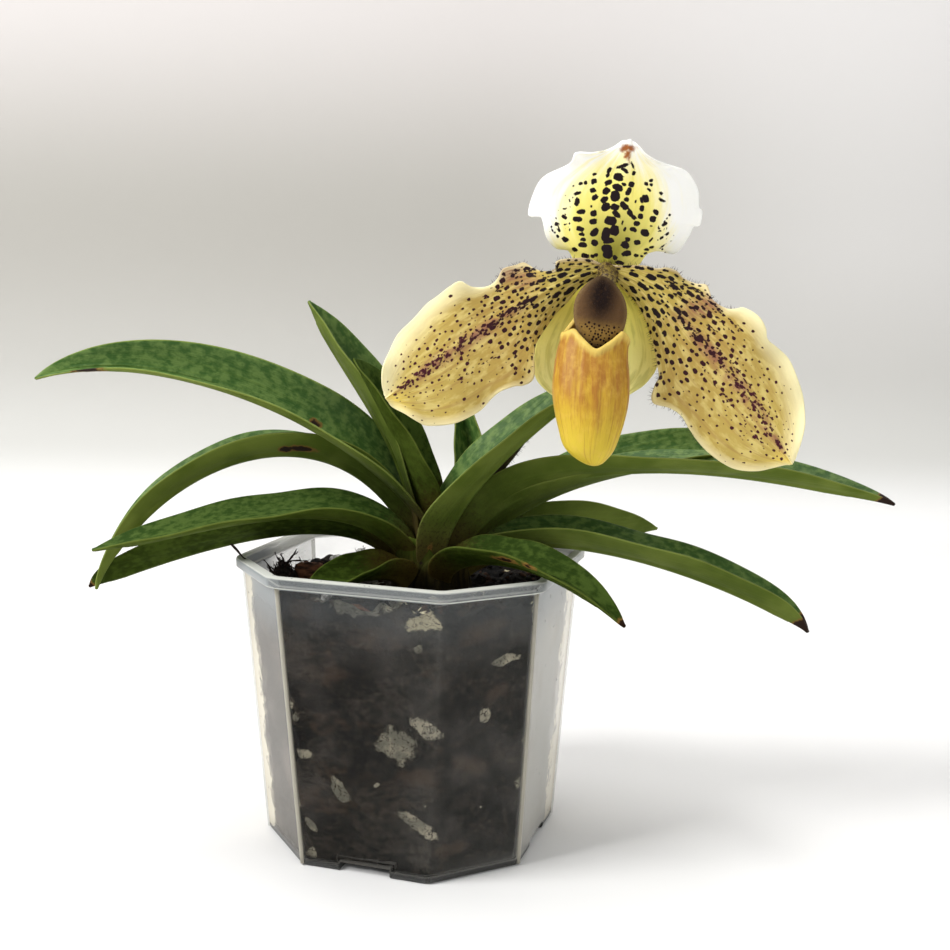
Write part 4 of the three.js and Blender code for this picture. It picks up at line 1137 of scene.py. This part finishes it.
# The spots, in rows that fan out from the foot: place across and up, half sizes, turn in degrees.
DORSAL_SPOTS = (
    (-0.4, 27.2, 1.6, 0.48, 25), (0.4, 26.2, 1.1, 0.42, -30), (-0.8, 24.4, 1.3, 0.95, -10),
    (-0.6, 21.8, 1.4, 0.9, -15), (0.7, 22.7, 0.53, 0.42, 0), (-0.9, 19.5, 1.2, 1.4, 0),
    (-0.5, 16.8, 1.1, 0.9, -5), (0.2, 15.0, 1.3, 0.74, -30), (-1.0, 13.2, 1.6, 1.2, 0),
    (0.4, 10.9, 1.2, 1.4, 0), (-1.7, 9.6, 1.1, 1.8, 0), (-0.7, 8.1, 1.4, 0.8, 20),
    (-0.9, 6.0, 1.3, 1.1, 0), (-0.4, 4.7, 1.2, 1.3, 0), (-3.5, 25.7, 0.85, 0.53, 60),
    (-3.7, 24.4, 0.69, 0.48, 45), (-3.2, 22.7, 1, 0.69, 40), (-3.4, 20.4, 1.1, 0.8, 50),
    (-3.5, 18.3, 1.1, 0.8, 50), (-2.8, 16.5, 1.2, 1, 40), (-7.1, 24.2, 0.53, 0.32, 30),
    (-6.9, 22.5, 0.8, 0.64, 30), (-6.8, 20.2, 0.8, 0.64, 20), (-6.0, 18.6, 0.95, 0.69, 40),
    (-6.5, 16.1, 0.37, 0.37, 0), (-5.7, 14.5, 0.9, 0.85, 30), (-5.4, 12.4, 0.95, 0.74, 20),
    (-4.6, 9.8, 1.3, 0.9, 50), (-4.2, 7.0, 0.95, 0.85, -20), (-3.4, 4.0, 0.58, 0.48, 0),
    (-10.2, 21.5, 0.53, 0.37, 20), (-9.0, 21.9, 0.48, 0.42, 20), (-10.7, 19.0, 0.9, 0.48, 20),
    (-10.3, 16.9, 1.2, 0.64, 90), (-8.9, 14.5, 1.1, 0.64, 10), (-9.5, 12.5, 1.2, 0.69, 5),
    (-8.5, 10.1, 0.95, 0.64, -5), (-7.8, 8.8, 0.74, 0.48, 0), (-7.3, 7.5, 0.8, 0.53, 0),
    (-7.1, 6.2, 1.1, 0.74, 0), (-5.9, 3.5, 1.1, 0.64, -15), (-4.1, 3.6, 0.58, 0.48, 0),
    (-13.5, 18.1, 0.32, 0.21, 0), (-13.3, 14.7, 0.42, 0.27, 0), (-12.9, 12.6, 0.69, 0.48, -30),
    (-14.7, 10.7, 0.53, 0.53, 0), (-13.9, 9.2, 0.58, 0.32, -40), (-11.1, 9.5, 0.21, 0.48, 0),
    (-13.9, 7.7, 0.48, 0.32, -40), (-11.8, 7.0, 0.95, 0.64, -25), (-12.6, 10.7, 0.32, 0.27, 0),
    (-11.4, 11.1, 0.21, 0.32, 0), (-8.8, 4.8, 0.74, 0.48, -20), (-12.0, 20.7, 0.32, 0.27, 0),
    (2.2, 27.6, 1.1, 0.27, -55), (2.8, 25.8, 0.69, 0.48, 70), (2.7, 23.0, 0.8, 0.74, 0),
    (2.3, 21.2, 1.1, 0.69, 70), (2.2, 19.1, 0.74, 0.69, 0), (1.8, 17.4, 1.3, 0.8, -40),
    (3.6, 15.9, 1, 0.69, -50), (4.8, 14.9, 0.8, 0.53, -35), (2.1, 13.3, 0.74, 0.32, 85),
    (3.0, 11.7, 0.64, 0.32, 80), (6.5, 23.7, 0.64, 0.48, 0), (7.6, 24.6, 0.48, 0.42, 20),
    (7.8, 23.7, 0.48, 0.42, 0), (7.7, 22.2, 0.74, 0.37, -40), (7.0, 20.1, 1.1, 0.85, -60),
    (6.1, 19.4, 0.74, 0.48, -60), (6.5, 17.5, 0.9, 0.64, 80), (6.5, 15.5, 0.69, 0.69, 0),
    (5.8, 13.5, 0.85, 0.69, 0), (5.2, 11.9, 1, 0.58, -10), (10.8, 21.9, 0.53, 0.42, -30),
    (11.2, 20.3, 0.95, 0.37, -15), (10.3, 17.1, 0.9, 0.69, -25), (9.9, 15.2, 0.9, 0.85, 0),
    (9.9, 13.4, 0.48, 0.27, 10), (8.4, 11.5, 1.2, 0.9, -10), (6.8, 8.7, 0.95, 0.74, 15),
    (4.2, 9.1, 0.74, 0.64, 0), (3.7, 7.6, 1.2, 0.9, -25), (4.5, 5.5, 1.3, 0.74, 20),
    (4.6, 18.9, 0.27, 0.48, 0), (14.1, 16.8, 0.37, 0.32, 0), (13.2, 14.4, 0.8, 0.37, 40),
    (12.0, 13.1, 0.42, 0.32, 0), (12.4, 12.6, 0.42, 0.27, 0), (14.4, 12.1, 0.69, 0.32, 35),
    (13.2, 10.9, 0.69, 0.32, 35), (10.4, 10.0, 0.8, 0.27, 60), (10.9, 8.1, 0.64, 0.32, 25),
    (9.6, 7.4, 0.8, 0.32, 10), (9.7, 6.4, 0.64, 0.27, 15), (7.2, 5.4, 0.64, 0.42, 0),
    (8.7, 5.5, 0.48, 0.32, 0), (14.1, 9.0, 1.1, 0.21, 40), (1.6, 4.0, 0.69, 0.58, 0),
    (3.2, 2.9, 1.2, 0.48, 0), (-4.4, 1.9, 0.53, 0.37, 0), (0.3, 2.3, 0.53, 0.32, 0),
)
spots = []
for x, z, long, wide, turn in DORSAL_SPOTS:
    turn = math.radians(turn)
    spots.append(((x, z), (math.cos(turn), math.sin(turn)), 1.01 * long, 1.01 * wide))
for _ in range(40):
    side = chance.choice((-1, 1))
    x, z = side * chance.uniform(11.5, 16.5), chance.uniform(5, 18)
    half = chance.uniform(0.13, 0.24)
    spots.append(((x, z), (0.4 * side, 0.9), half * chance.uniform(1, 2), half))
dorsal_mesh = petal_mesh(
    "dorsal_sepal_blade", flat, front, spot=spot_depth(flat, spots), along=t, across=v,
    brown=spot_depth(flat, [((0.3, 31.6), (0.97, 0.24), 1.5, 0.8), ((0.5, 30.2), (0, 1), 1.6, 0.7)]),
    ground=np.clip(1.25 - np.hypot((flat[..., 0] + 0.3) / 14.5, (flat[..., 1] - 10) / 19), 0, 1))


class Petal(Finish):
    """Petal tissue: soft, with fine veins that run out along its rows; its fields paint it."""

    def __init__(self, name):
        super().__init__(name, Roughness=0.55, Specular_IOR_Level=0.2, Subsurface_Weight=0.05,
                         Subsurface_Scale=0.001, Subsurface_Radius=(1.0, 0.8, 0.4))
        self.along = self.field("along")
        self.veins = self.weave(3.0, 11.0, 0.0, 2)
        self.bump(self.veins + self.grain(900, 3) * 0.5, 0.00014)
        ragged = (self.grain(900, 3) - 0.5) * 0.75
        in_front = self.field("face").step(-1.2, 1.0)
        self.spots = in_front * (self.field("spot") + ragged).step(-0.06, 0.08)

    def weave(self, along, across, shift, detail):
        place = self.at(self.along * along, self.field("across") * across, shift)
        return self.grain(1.0, detail, at=place)


sepal = Petal("dorsal_sepal")
mid_base = sepal.along.step(0.66, 0.10) * abs(sepal.field("across")).step(0.75, 0.1)
ground = sepal.coats(sepal.mix(mid_base, (252, 239, 130), (150, 142, 46)),
                     (sepal.veins.step(0.5, 0.75) * 0.35, (198, 190, 76)))
from_edge = sepal.field("ground") + (sepal.veins - 0.5) * 0.5
browned = (sepal.field("brown") + (sepal.grain(500, 3) - 0.5) * 2.4).step(-0.5, 0.4)
sepal.paint(sepal.mix(from_edge.step(0.0, 0.34), (255, 254, 248), (255, 246, 196)),
            (from_edge.step(0.14, 0.62), ground), (browned, (158, 92, 44)), (sepal.spots, (20, 3, 8)))
finished("dorsal_sepal_blade", dorsal_mesh, sepal.material, "dorsal_sepal", "dorsal_sepal")

synsepal_left = ((-3.4, -1.6), (-8.0, -5.6), (-11.0, -9.6), (-12.2, -13.6), (-14.4, -17.7),
                 (-15.4, -22.4), (-14.6, -29.3), (-11.6, -32.8), (-6.4, -35.4), (-1.0, -37.0))
synsepal_right = ((3.4, -1.6), (7.2, -3.6), (11.4, -8.6), (15.2, -15.2), (17.4, -22.4), (15.1, -27.6),
                  (11.6, -30.9), (7.6, -34.4), (3.2, -37.0))
flat, t, v = petal_grid(((0, -1.6), (0, -20), (1.1, -37.2)), synsepal_right, synsepal_left, 130, 100)
front = (-2.4 - 1.5 * np.sin(math.pi * t) - 0.5 * v * v + 0.4 * np.sin(9 * t) * v * v
         + 0.25 * np.sin(17 * t + 3) * np.abs(v) ** 3)
synsepal_mesh = petal_mesh("synsepal_blade", flat, front, along=t, across=v,
                           spot=np.full(flat.shape[:2], -3.0))
lower = Petal("synsepal")
lower.paint(lower.mix(lower.along.step(0.1, 0.8), (232, 222, 96), (248, 242, 160)),
            (lower.weave(5.0, 7.0, 3.0, 3).step(0.52, 0.68) * 0.35, (160, 162, 60)),
            (lower.veins.step(0.48, 0.66) * 0.42, (186, 178, 66)))
finished("synsepal_blade", synsepal_mesh, lower.material, "synsepal", "synsepal")

# ---------------------------------------------------------------- petals
# Two broad drooping petals, pale yellow with cream wavy margins. Rows of maroon spots fan out
# from the base, smaller outwards, with a broken purple streak down the middle and a mauve
# flush under the upper margin. Short dark hairs stand along the margins near the base.

# Midline and edges, places across and up from the middle of the flower; phase of the waves;
# seed of the spots; where the streak lies across; middle, half sizes and turn of the flush;
# rows of extra dots: their line, how many and how large.
PETALS = {
    "petal_left": {
        "mid": ((-1.0, 0.7), (-12, -5.0), (-30, -18.5), (-53.0, -40.4)),
        "upper": ((-1.1, 1.6), (-5.7, 2.6), (-10.8, 1.8), (-13.6, 0.7), (-13.5, -1.6), (-15.8, -2.6),
                  (-18.9, -1.9), (-21.8, -0.7), (-24.1, -1.7), (-27.1, -3.1), (-28.1, -5.5),
                  (-29.6, -7.7), (-32.1, -8.7), (-34.7, -8.7), (-37.8, -7.8), (-40.4, -9.7),
                  (-43.2, -12.5), (-45.7, -14.9), (-48.4, -18.9), (-52, -23.6), (-53.7, -28.6),
                  (-54.7, -32.7), (-54.3, -37), (-53.4, -39.6)),
        "lower": ((-0.8, -0.1), (-6.2, -4.3), (-9.2, -9.1), (-11.8, -12.6), (-14.1, -16.8), (-16.1, -21.3),
                  (-15.9, -24.7), (-15.2, -29.1), (-16, -31.1), (-18, -32.3), (-20, -32.7), (-23.4, -34.5),
                  (-25.5, -36.9), (-27.8, -40.2), (-30.9, -42.5), (-35.1, -44.7), (-41.1, -46),
                  (-43.8, -45.3), (-47.5, -43.7), (-50.9, -42.6), (-52.2, -41.4)),
        "phase": (0.0, 1.6), "seed": 5, "streak": -0.02, "flush": ((-23.5, -4.4), 8.5, 4.2, 0.18),
        "rows": ((((-14.5, -4.0), (-21, -3.6), (-27, -6.2)), 18, 0.24),
                 (((-16, -5.6), (-24, -6.2), (-32, -11.5)), 20, 0.24),
                 (((-20, -2.6), (-24, -3.2), (-27, -4.8)), 16, 0.2),
                 (((-20, -21), (-33, -31.5), (-42, -37.5)), 16, 0.24)),
    },
    "petal_right": {
        "mid": ((1.0, 0.7), (12, -3.4), (33, -20.0), (55.6, -43.0)),
        "upper": ((0.7, 1.9), (2.8, 1.9), (8.9, 2.8), (12.4, 2.5), (15.2, 3.1), (18.2, 2.5), (19.9, 1.2),
                  (23.6, 0.1), (26.2, 0.2), (27.3, -1.6), (28.4, -3.6), (31.9, -5.2), (34.5, -4.9),
                  (36, -4.4), (38.5, -5.1), (40.8, -6.6), (42.6, -9), (43.8, -11.6), (47, -13.4),
                  (50.4, -15.8), (52.9, -19.7), (55.7, -25.2), (56.7, -30.9), (56.6, -36),
                  (56.4, -41.1), (56.0, -42.4)),
        "lower": ((1.1, -0.6), (4.4, -3.3), (7.9, -5.7), (11.2, -9.5), (13.5, -13.8), (15.5, -18.3),
                  (16.3, -21.8), (17.4, -25.4), (16.7, -27.6), (16.4, -30.6), (17.5, -32.3), (21.5, -32.8),
                  (25, -34.5), (27.7, -37.6), (30.3, -40.5), (33.4, -43), (37.8, -45.3), (41.7, -46.4),
                  (46.8, -46), (51.8, -44.5), (54.8, -43.4)),
        "phase": (0.5, 2.1), "seed": 9, "streak": 0.02, "flush": ((26.5, -5.0), 13.0, 3.8, -0.52),
        "rows": ((((14, 0.9), (22, -1.2), (29, -5.0), (37, -10.6)), 34, 0.26),
                 (((17, -1.0), (26, -5.6), (35, -11.4)), 30, 0.25),
                 (((27, -12), (38.2, -21.5), (49, -33)), 28, 0.25),
                 (((27, -20), (39.5, -32), (48, -40)), 26, 0.24),
                 (((15, -1.2), (24, -7.0), (33, -14.0)), 24, 0.25),
                 (((22, -1.0), (27, -3.2), (31, -6.6)), 22, 0.24)),
    },
}

petal = Petal("petal_tissue")
flushed = petal.field("flush") * petal.veins.step(0.15, 0.70)
stain = petal.field("streak") * petal.grain(420, 4).step(0.34, 0.62)
petal.paint(petal.mix(petal.along.step(0.05, 0.5), (180, 160, 74), (180, 151, 76)),
            (petal.along.step(0.42, 0.88), (192, 167, 86)), (petal.along.step(0.88, 1.0), (240, 210, 92)),
            (petal.weave(15.0, 8.0, 5.0, 3).step(0.44, 0.64) * 0.6, (223, 204, 127)),
            (petal.veins.step(0.50, 0.68) * 0.5, (166, 130, 72)),
            (petal.field("cream"), (246, 234, 182)), (flushed, (144, 96, 72)), (stain * 0.8, (146, 88, 78)),
            (petal.spots, petal.mix(petal.along.step(0.15, 0.8), (18, 4, 7), (66, 16, 28))))

# Rows of spots to each side of the midline, how often a spot is tried, how many dots the streak
# has, and half the width of the ribbon that carries the hairs.
SPOT_ROWS, TRIES, STREAK_DOTS, RIBBON_HALF = 9.6, 16000, 190, 0.22
rows, columns = 220, 124
for name, shape in PETALS.items():
    chance = random.Random(shape["seed"])
    flat, t, v = petal_grid(shape["mid"], shape["upper"], shape["lower"], rows, columns)
    wave = np.where(v > 0, 1.7 * np.sin(15 * t + shape["phase"][0]), 1.1 * np.sin(15 * t + shape["phase"][1]))
    front = (3 * np.sin(2.6 * t) + 2.6 * t * t - 1.3 * v * v * (1 - 0.5 * t) + v * v * wave
             + 0.7 * np.abs(v) ** 4 * np.sin(34 * t + shape["phase"][1]) + 0.25 * np.exp(-(v * 12) ** 2))
    half_upper, half_lower = (np.linalg.norm(flat[:, k] - flat[:, columns // 2], axis=1) for k in (-1, 0))
    spots, taken = [], []

    def try_spot(at, across, half, stretch, gap):
        """Adds a spot unless it would touch another one."""
        place, course = on_petal(flat, at, across)
        for other, reach in taken:
            dx, dz = place - other
            away = math.hypot((course[0] * dx + course[1] * dz) / stretch,
                              course[0] * dz - course[1] * dx)
            if away < half + reach + gap:
                return
        taken.append((place, half))
        spots.append((place, course, half * stretch * chance.uniform(0.85, 1.2),
                      half * chance.uniform(0.85, 1.1)))

    for _ in range(TRIES):
        at = chance.uniform(0.02, 0.97 if chance.random() < 0.65 else 0.32)
        row = round(chance.uniform(-9.3, 9.4 if at < 0.35 else 8.6))
        across = row / SPOT_ROWS + chance.gauss(0, 0.010 + 0.028 * at)
        half_width = np.interp(at, t[:, 0], half_upper if across > 0 else half_lower)
        inside = (1 - abs(across)) * half_width
        if inside < (0.35 if at > 0.3 else 0.1):
            continue
        sparse = 1.0
        if across > 0:
            sparse = np.interp(across, (0.3, 0.6, 0.85), (1.0, 0.55, 0.04)) if at > 0.42 else 1.0
        elif at > 0.5:
            sparse = np.interp(-across, (0.35, 0.6, 0.9), (1.0, 0.5, 0.2))
        if chance.random() > (0.20 if at > 0.3 else 0.5) * sparse:
            continue
        half = np.interp(at, (0.03, 0.2, 0.4, 0.6, 0.9), (0.52, 0.56, 0.51, 0.39, 0.27))
        half *= chance.choice((0.5, 0.7, 0.9, 1.0, 1.1, 1.3)) * (0.6 + 0.4 * min(1, inside / 2.2))
        if abs(across) > 0.35 and at > 0.5:
            half *= 0.8
        try_spot(at, across, half, 1.25 + 1.9 * max(0, 1 - at / 0.35), 0.22 + 0.26 * at + 0.9 * (1 - sparse))
    for _ in range(STREAK_DOTS):
        at = chance.uniform(0.30, 0.93)
        place, course = on_petal(flat, at, shape["streak"] + chance.gauss(0, 0.05))
        half = chance.uniform(0.13, 0.33)
        spots.append((place, course, half * chance.uniform(1.0, 2.2), half))
    for line, number, half in shape["rows"]:
        course = evenly(line, 100)
        for _ in range(number):
            k = chance.randrange(len(course) - 2)
            heading = course[k + 1] - course[k]
            spots.append((course[k] + (chance.gauss(0, 0.12), chance.gauss(0, 0.35)), unit(heading),
                          half * chance.uniform(0.8, 2.6), half * chance.uniform(0.6, 1.1)))

    # How far in from the margins, in mm; the cream band widens outwards along the upper one.
    margin_up, margin_low = (1 - v) * half_upper[:, None], (1 + v) * half_lower[:, None]
    band = 0.4 + 5.8 * np.clip(t * 2.0 - 0.45, 0, 1)
    cream = np.where(v > 0, np.clip(1.1 - margin_up / band, 0, 1) ** 1.2,
                     0.8 * np.clip(1 - margin_low / (0.3 + 2.2 * t), 0, 1) * np.clip(3 * t - 0.7, 0, 1))
    (cx, cz), long, wide, slope = shape["flush"]
    dx, dz = flat[..., 0] - cx, flat[..., 1] - cz
    c, s = math.cos(slope), -math.sin(slope)
    flush = np.clip(1.4 * (1 - np.hypot((c * dx + s * dz) / long, (c * dz - s * dx) / wide)), 0, 1)
    flush = np.maximum(flush, 0.7 * np.clip(1.2 - margin_up / 0.6, 0, 1)
                       * np.clip((0.45 - t) / 0.15, 0, 1) * (v > 0))
    streak_field = (np.clip((t - 0.25) / 0.2, 0, 1) * np.clip((0.97 - t) / 0.05, 0, 1)
                    * np.clip(1.2 - np.abs(v - shape["streak"]) / 0.15, 0, 1))
    mesh = petal_mesh(name + "_blade", flat, front, spot=spot_depth(flat, spots), along=t, across=v,
                      cream=cream, flush=flush, streak=streak_field)
    finished(name + "_blade", mesh, petal.material, "petal", name)

    # Hairs stand on a narrow ribbon along each margin: its column, one further in, first and last row.
    edge_parts = []
    for column, other, first, last in ((columns - 1, columns - 4, 4, 95), (0, 3, 20, 150)):
        line, inner = (stood_up(flat, front)[first:last, k] for k in (column, other))
        ribbon = np.stack([line - (0, RIBBON_HALF, 0), line + (0, RIBBON_HALF, 0)], 1)
        outward = np.cross(ribbon[1, 0] - ribbon[0, 0], ribbon[0, 1] - ribbon[0, 0]) @ (line - inner)[0]
        ring = [(2 * k, 2 * k + 2, 2 * k + 3, 2 * k + 1) for k in range(len(line) - 1)]
        edge_parts.append((in_flower(ribbon.reshape(-1, 3)),
                           ring if outward > 0 else [face[::-1] for face in ring]))
    downy(name + "_fringe", *gather(edge_parts), "petal", 420, 0.7, 1.5, 30 + shape["seed"], lean=0.45)

# ---------------------------------------------------------------- pouch
# The lip: a waxy slipper, open at the top, with a rolled creamy rim that dips to a V in front
# and rises to a lobe on each side. Yellow, with an orange-brown flush streaked downwards.

# Read up the pouch: half width, half depth, where its middle lies across and how far forward.
HEIGHTS = (-49, -46, -40.5, -33.2, -27, -21, -15.5, -9, -4)
HALF_WIDTH = (0, 5.6, 8, 9.7, 9.8, 9.1, 8.1, 5.4, 3.8)
HALF_DEPTH = (0, 5, 7.2, 8.6, 8.4, 7.3, 6.2, 5, 3.4)
MIDDLE_X = (1.8, 0.5, 0, -0.6, -1, -1.4, -1, -0.6, -0.2)
MIDDLE_FRONT = (17.5, 16.8, 15.2, 13, 11, 9, 7.6, 6.4, 5)
# Heights of the toe, the lobes, the shoulders, the notch in front and the back of the rim; the
# thickness of the wall; how far out to the side the lobes stand, as a share.
TOE, POUCH_WALL, LOBE, LOBE_AT, SHOULDER, NOTCH, BACK = -49, 0.75, -15.0, 0.775, -16.6, -20.1, -4.8
wide_curve, deep_curve, x_curve, front_curve = (
    through(list(zip(HEIGHTS, values)), 800)
    for values in (HALF_WIDTH, HALF_DEPTH, MIDDLE_X, MIDDLE_FRONT))
sides = 144
turn = once_round(sides)
forward = np.cos(turn)
aside = np.abs(np.sin(turn))
rounded = np.hypot(np.minimum(aside, LOBE_AT) / LOBE_AT, 0.06)
rim = np.where(aside < LOBE_AT, NOTCH + (LOBE - NOTCH) * rounded,
               LOBE + (SHOULDER - LOBE) * (np.maximum(0, aside - LOBE_AT) / (1 - LOBE_AT)) ** 1.6)
rim = np.where(forward < 0, SHOULDER + (BACK - SHOULDER) * np.clip((-0.4 - forward) / 0.6, 0, 1) ** 0.8, rim)
softly = np.array([1, 3, 4, 3, 1]) / 12
rim = np.convolve(np.concatenate([rim[-2:], rim, rim[:2]]), softly, "valid")
rim = rim + 0.7 * np.sin(turn) * np.clip(forward + 0.2, 0, 1) ** 0.5


def pouch_ring(level, inset, roll_out):
    """One ring of the pouch: 0 is at the toe and 1 at the rim."""
    foot = TOE + 1.3 * inset
    z = foot + (rim - foot) * level
    rounding = np.sqrt(np.minimum(1, np.maximum(0, z - foot) / 3))
    at = np.maximum(z, TOE + 3)
    wide, deep = (np.maximum(0.05, read_off(curve, at) * rounding - inset + roll_out)
                  for curve in (wide_curve, deep_curve))
    crease = 1 + 0.006 * np.sin(18 * turn) * min(1, 3 * level)
    return np.stack([read_off(x_curve, z) + wide * crease * np.sin(turn),
                     -(read_off(front_curve, z) + deep * crease * np.cos(turn)), z], -1)


# Up the outside, over the rolled rim and down the inside: how high, how far in, how far rolled out.
levels = np.concatenate([[0.0006, 0.003, 0.008, 0.015], np.linspace(0.03, 0.93, 60)])
stack = [(level, 0, 0) for level in levels]
stack += [(0.945, 0, 0.12), (0.962, 0, 0.32), (0.98, 0, 0.48), (0.995, 0, 0.42), (1.003, 0.12, 0.2),
          (1.003, 0.45, 0.1), (0.99, 0.7, 0.0), (0.965, POUCH_WALL + 0.1, 0.0)]
stack += [(level, POUCH_WALL, 0) for level in levels[::-1]]
vertices, faces = skin(in_flower(np.array([pouch_ring(*ring) for ring in stack])))
ring_level, ring_inset, _ = np.array(stack).T
# The last two values of each field are those of the two hubs.
level_field = np.append(np.repeat(ring_level, sides), [0, 0])
inside_field = np.append(np.repeat(ring_inset / POUCH_WALL, sides), [0, 1])
round_field = np.append(np.tile(turn, len(stack)), [0, 0])
drop = np.append(np.outer(1 - ring_level, rim - TOE), [30, 30])
chance = random.Random(12)
dot_depth = np.full(len(level_field), -2.0)
pouch_x, pouch_z = vertices[:, 0] - FLOWER_AT[0], vertices[:, 2] - FLOWER_AT[2]
near = (np.cos(round_field) < math.cos(1.7)) & (inside_field > 0.9)
for _ in range(90):
    x, z, radius = chance.uniform(-8, 4), chance.uniform(-21, -11), chance.uniform(0.22, 0.36)
    dot_depth[near] = np.maximum(dot_depth[near], radius - np.hypot(pouch_x[near] - x, pouch_z[near] - z))
pouch_mesh = mesh_of("pouch_slipper", vertices, faces, level=level_field, inside=inside_field, dot=dot_depth,
                     circle_x=np.cos(round_field), circle_y=np.sin(round_field), drop=drop)
slipper = Finish("slipper", Roughness=0.48, Specular_IOR_Level=0.18, Subsurface_Weight=0.06,
                 Subsurface_Scale=0.002, Subsurface_Radius=(1.0, 0.7, 0.25))
level = slipper.field("level")
circle = slipper.at(slipper.field("circle_x") * 5.0, slipper.field("circle_y") * 5.0, level * 4.2)
pouch_veins = slipper.grain(1.0, 4, at=circle)
fine_streaks = slipper.grain(1.0, 3, at=circle, stretch=(3.4, 3.4, 2.2))
vein_lines = slipper.grain(1.0, 2, at=circle, stretch=(2.3, 2.3, 0.35))
uneven = pouch_veins - 0.5
flushed = (level + uneven * 0.5).step(0.30, 0.72) * pouch_veins.step(0.22, 0.62)
slipper.bump(pouch_veins, 0.0002)
finished("pouch_slipper", pouch_mesh, slipper.paint(
    slipper.mix(level.step(0.05, 0.6), (210, 184, 58), (196, 156, 48)),
    (flushed * 0.8, (154, 96, 42)),
    (fine_streaks.step(0.5, 0.7) * (level.step(0.05, 0.45) * 0.35), (150, 88, 40)),
    (vein_lines.step(0.53, 0.66) * 0.42, (158, 104, 40)),
    (slipper.grain(520, 3).step(0.44, 0.68) * 0.22, (222, 184, 84)),
    ((slipper.field("drop") + uneven * 3.0).step(2.9, 0.5), (216, 186, 94)),
    # Inside the cup: its own tan colour, lightened as painted light against the shade there.
    (slipper.field("inside").step(0.6, 1.0), (196, 158, 78)),
    (slipper.field("dot").step(-0.06, 0.06), (60, 30, 22))), "pouch", "pouch")

# ---------------------------------------------------------------- column and staminode
# The column is a short stout stub that joins all the parts. The staminode is a domed shield
# fixed to its front, downy, mauve-brown, with small dark dots along its lower edge.

# How far forward, radius, how far up.
STUB = ((-6, 2.3, 0), (-4, 2.6, 0), (-1, 2.8, -0.2), (2, 2.9, -0.8), (5, 2.6, -2.4), (7.4, 2, -4.2))
turn = once_round(48)
rings = []
for out in np.linspace(-6, 7.4, 30):
    end = min(1.0, math.sqrt(max(0.05, (7.6 - out) / 1.5)))
    knob = read_off(STUB, out) * (0.82 if out > 1 else 1) * end * (1 + 0.05 * np.cos(3 * turn))
    rings.append(np.stack([knob * np.cos(turn), np.full(48, -out),
                           read_off(STUB, out, 2) + knob * np.sin(turn)], -1))
column = skin(in_flower(np.array(rings)))
column_finish = two_tone("column", (1300, 2), (128, 108, 46), (62, 40, 22), (0.46, 0.60),
                         relief=(700, 3, 0.0003), Roughness=0.5)
finished("column_stub", mesh_of("column_stub", *column), column_finish.material, "column", "column")
downy("column_down", *column, "column", 160, 0.5, 1.1, 51)

SHIELD_AROUND, SHIELD_DOTS, DOTS_APART = 264, 64, 0.62
turn = once_round(SHIELD_AROUND)
waist = 1 - 0.34 * np.maximum(0, np.sin(turn)) ** 3
rings, shares = [], []
# From the middle of its back round the edge to the middle of its front: how far from the
# middle, as a share of the way to the edge, and how far forward.
DOME = ((0.0, 8.1), (0.45, 8.15), (0.8, 8.3), (0.93, 8.6), (0.99, 8.95), (1.0, 9.2), (0.985, 9.5),
        (0.95, 9.8), (0.9, 10.1), (0.82, 10.45), (0.72, 10.75), (0.6, 11.0), (0.48, 11.2),
        (0.36, 11.32), (0.24, 11.38), (0.12, 11.4), (0.03, 11.4))
for share, out in through(DOME, 90):
    z = -10.5 + 9.2 * share * np.sin(turn)
    x = -1.1 - 0.06 * (z + 10.5) + 6.9 * share * waist * np.cos(turn)
    groove = 0.45 * np.exp(-((x + 1.1) / 0.9) ** 2) * np.clip((z + 8) / 4, 0, 1) * (out > 9)
    rings.append(np.stack([x, -(out - groove - 0.12 * (z + 9.3)), z], -1))
    shares.append(np.full(SHIELD_AROUND, share if out > 9 else 1.2))
rings = np.array(rings)
vertices, faces = skin(in_flower(rings))
local = np.vstack([rings.reshape(-1, 3), rings[0].mean(0), rings[-1].mean(0)])
chance = random.Random(8)
dots = []
while len(dots) < SHIELD_DOTS:
    x, z, radius = chance.gauss(-0.8, 2.6), chance.uniform(-19.6, -13.4), chance.uniform(0.18, 0.34)
    if all(math.hypot(x - other[0], z - other[1]) > DOTS_APART for other in dots):
        dots.append((x, z, radius))
dot_depth = np.full(len(local), -2.0)
for x, z, radius in dots:
    dot_depth = np.maximum(dot_depth, radius - np.hypot(local[:, 0] - x, local[:, 2] - z))
shield_mesh = mesh_of("staminode_shield", vertices, faces, share=np.concatenate([np.ravel(shares), [1.2, 0]]),
                      dot=dot_depth, height=local[:, 2], aside=local[:, 0])
shield = Finish("staminode", Roughness=0.8, Specular_IOR_Level=0.15)
velvet = shield.grain(1500, 3)
shield.bump(velvet, 0.0003)
up = shield.field("height")
from_dark = shield.node(
    "ShaderNodeVectorMath", shield.at((shield.field("aside") + 1.4) * 1.45, (up + 6.4) * 0.88),
    operation="LENGTH", out="Value")
finished("staminode_shield", shield_mesh, shield.paint(
    shield.mix(up.step(-11.5, -15.8), (94, 68, 42), (146, 114, 56)),
    (shield.field("share").step(0.80, 1.0), (118, 94, 60)), (from_dark.step(8.6, 1.8), (24, 11, 6)),
    (velvet.step(0.5, 0.7) * 0.22, (92, 62, 32)),
    (shield.field("dot").step(-0.04, 0.04), (34, 14, 12))), "staminode", "staminode")
downy("staminode_down", vertices, faces, "staminode", 260, 0.25, 0.55, 52)
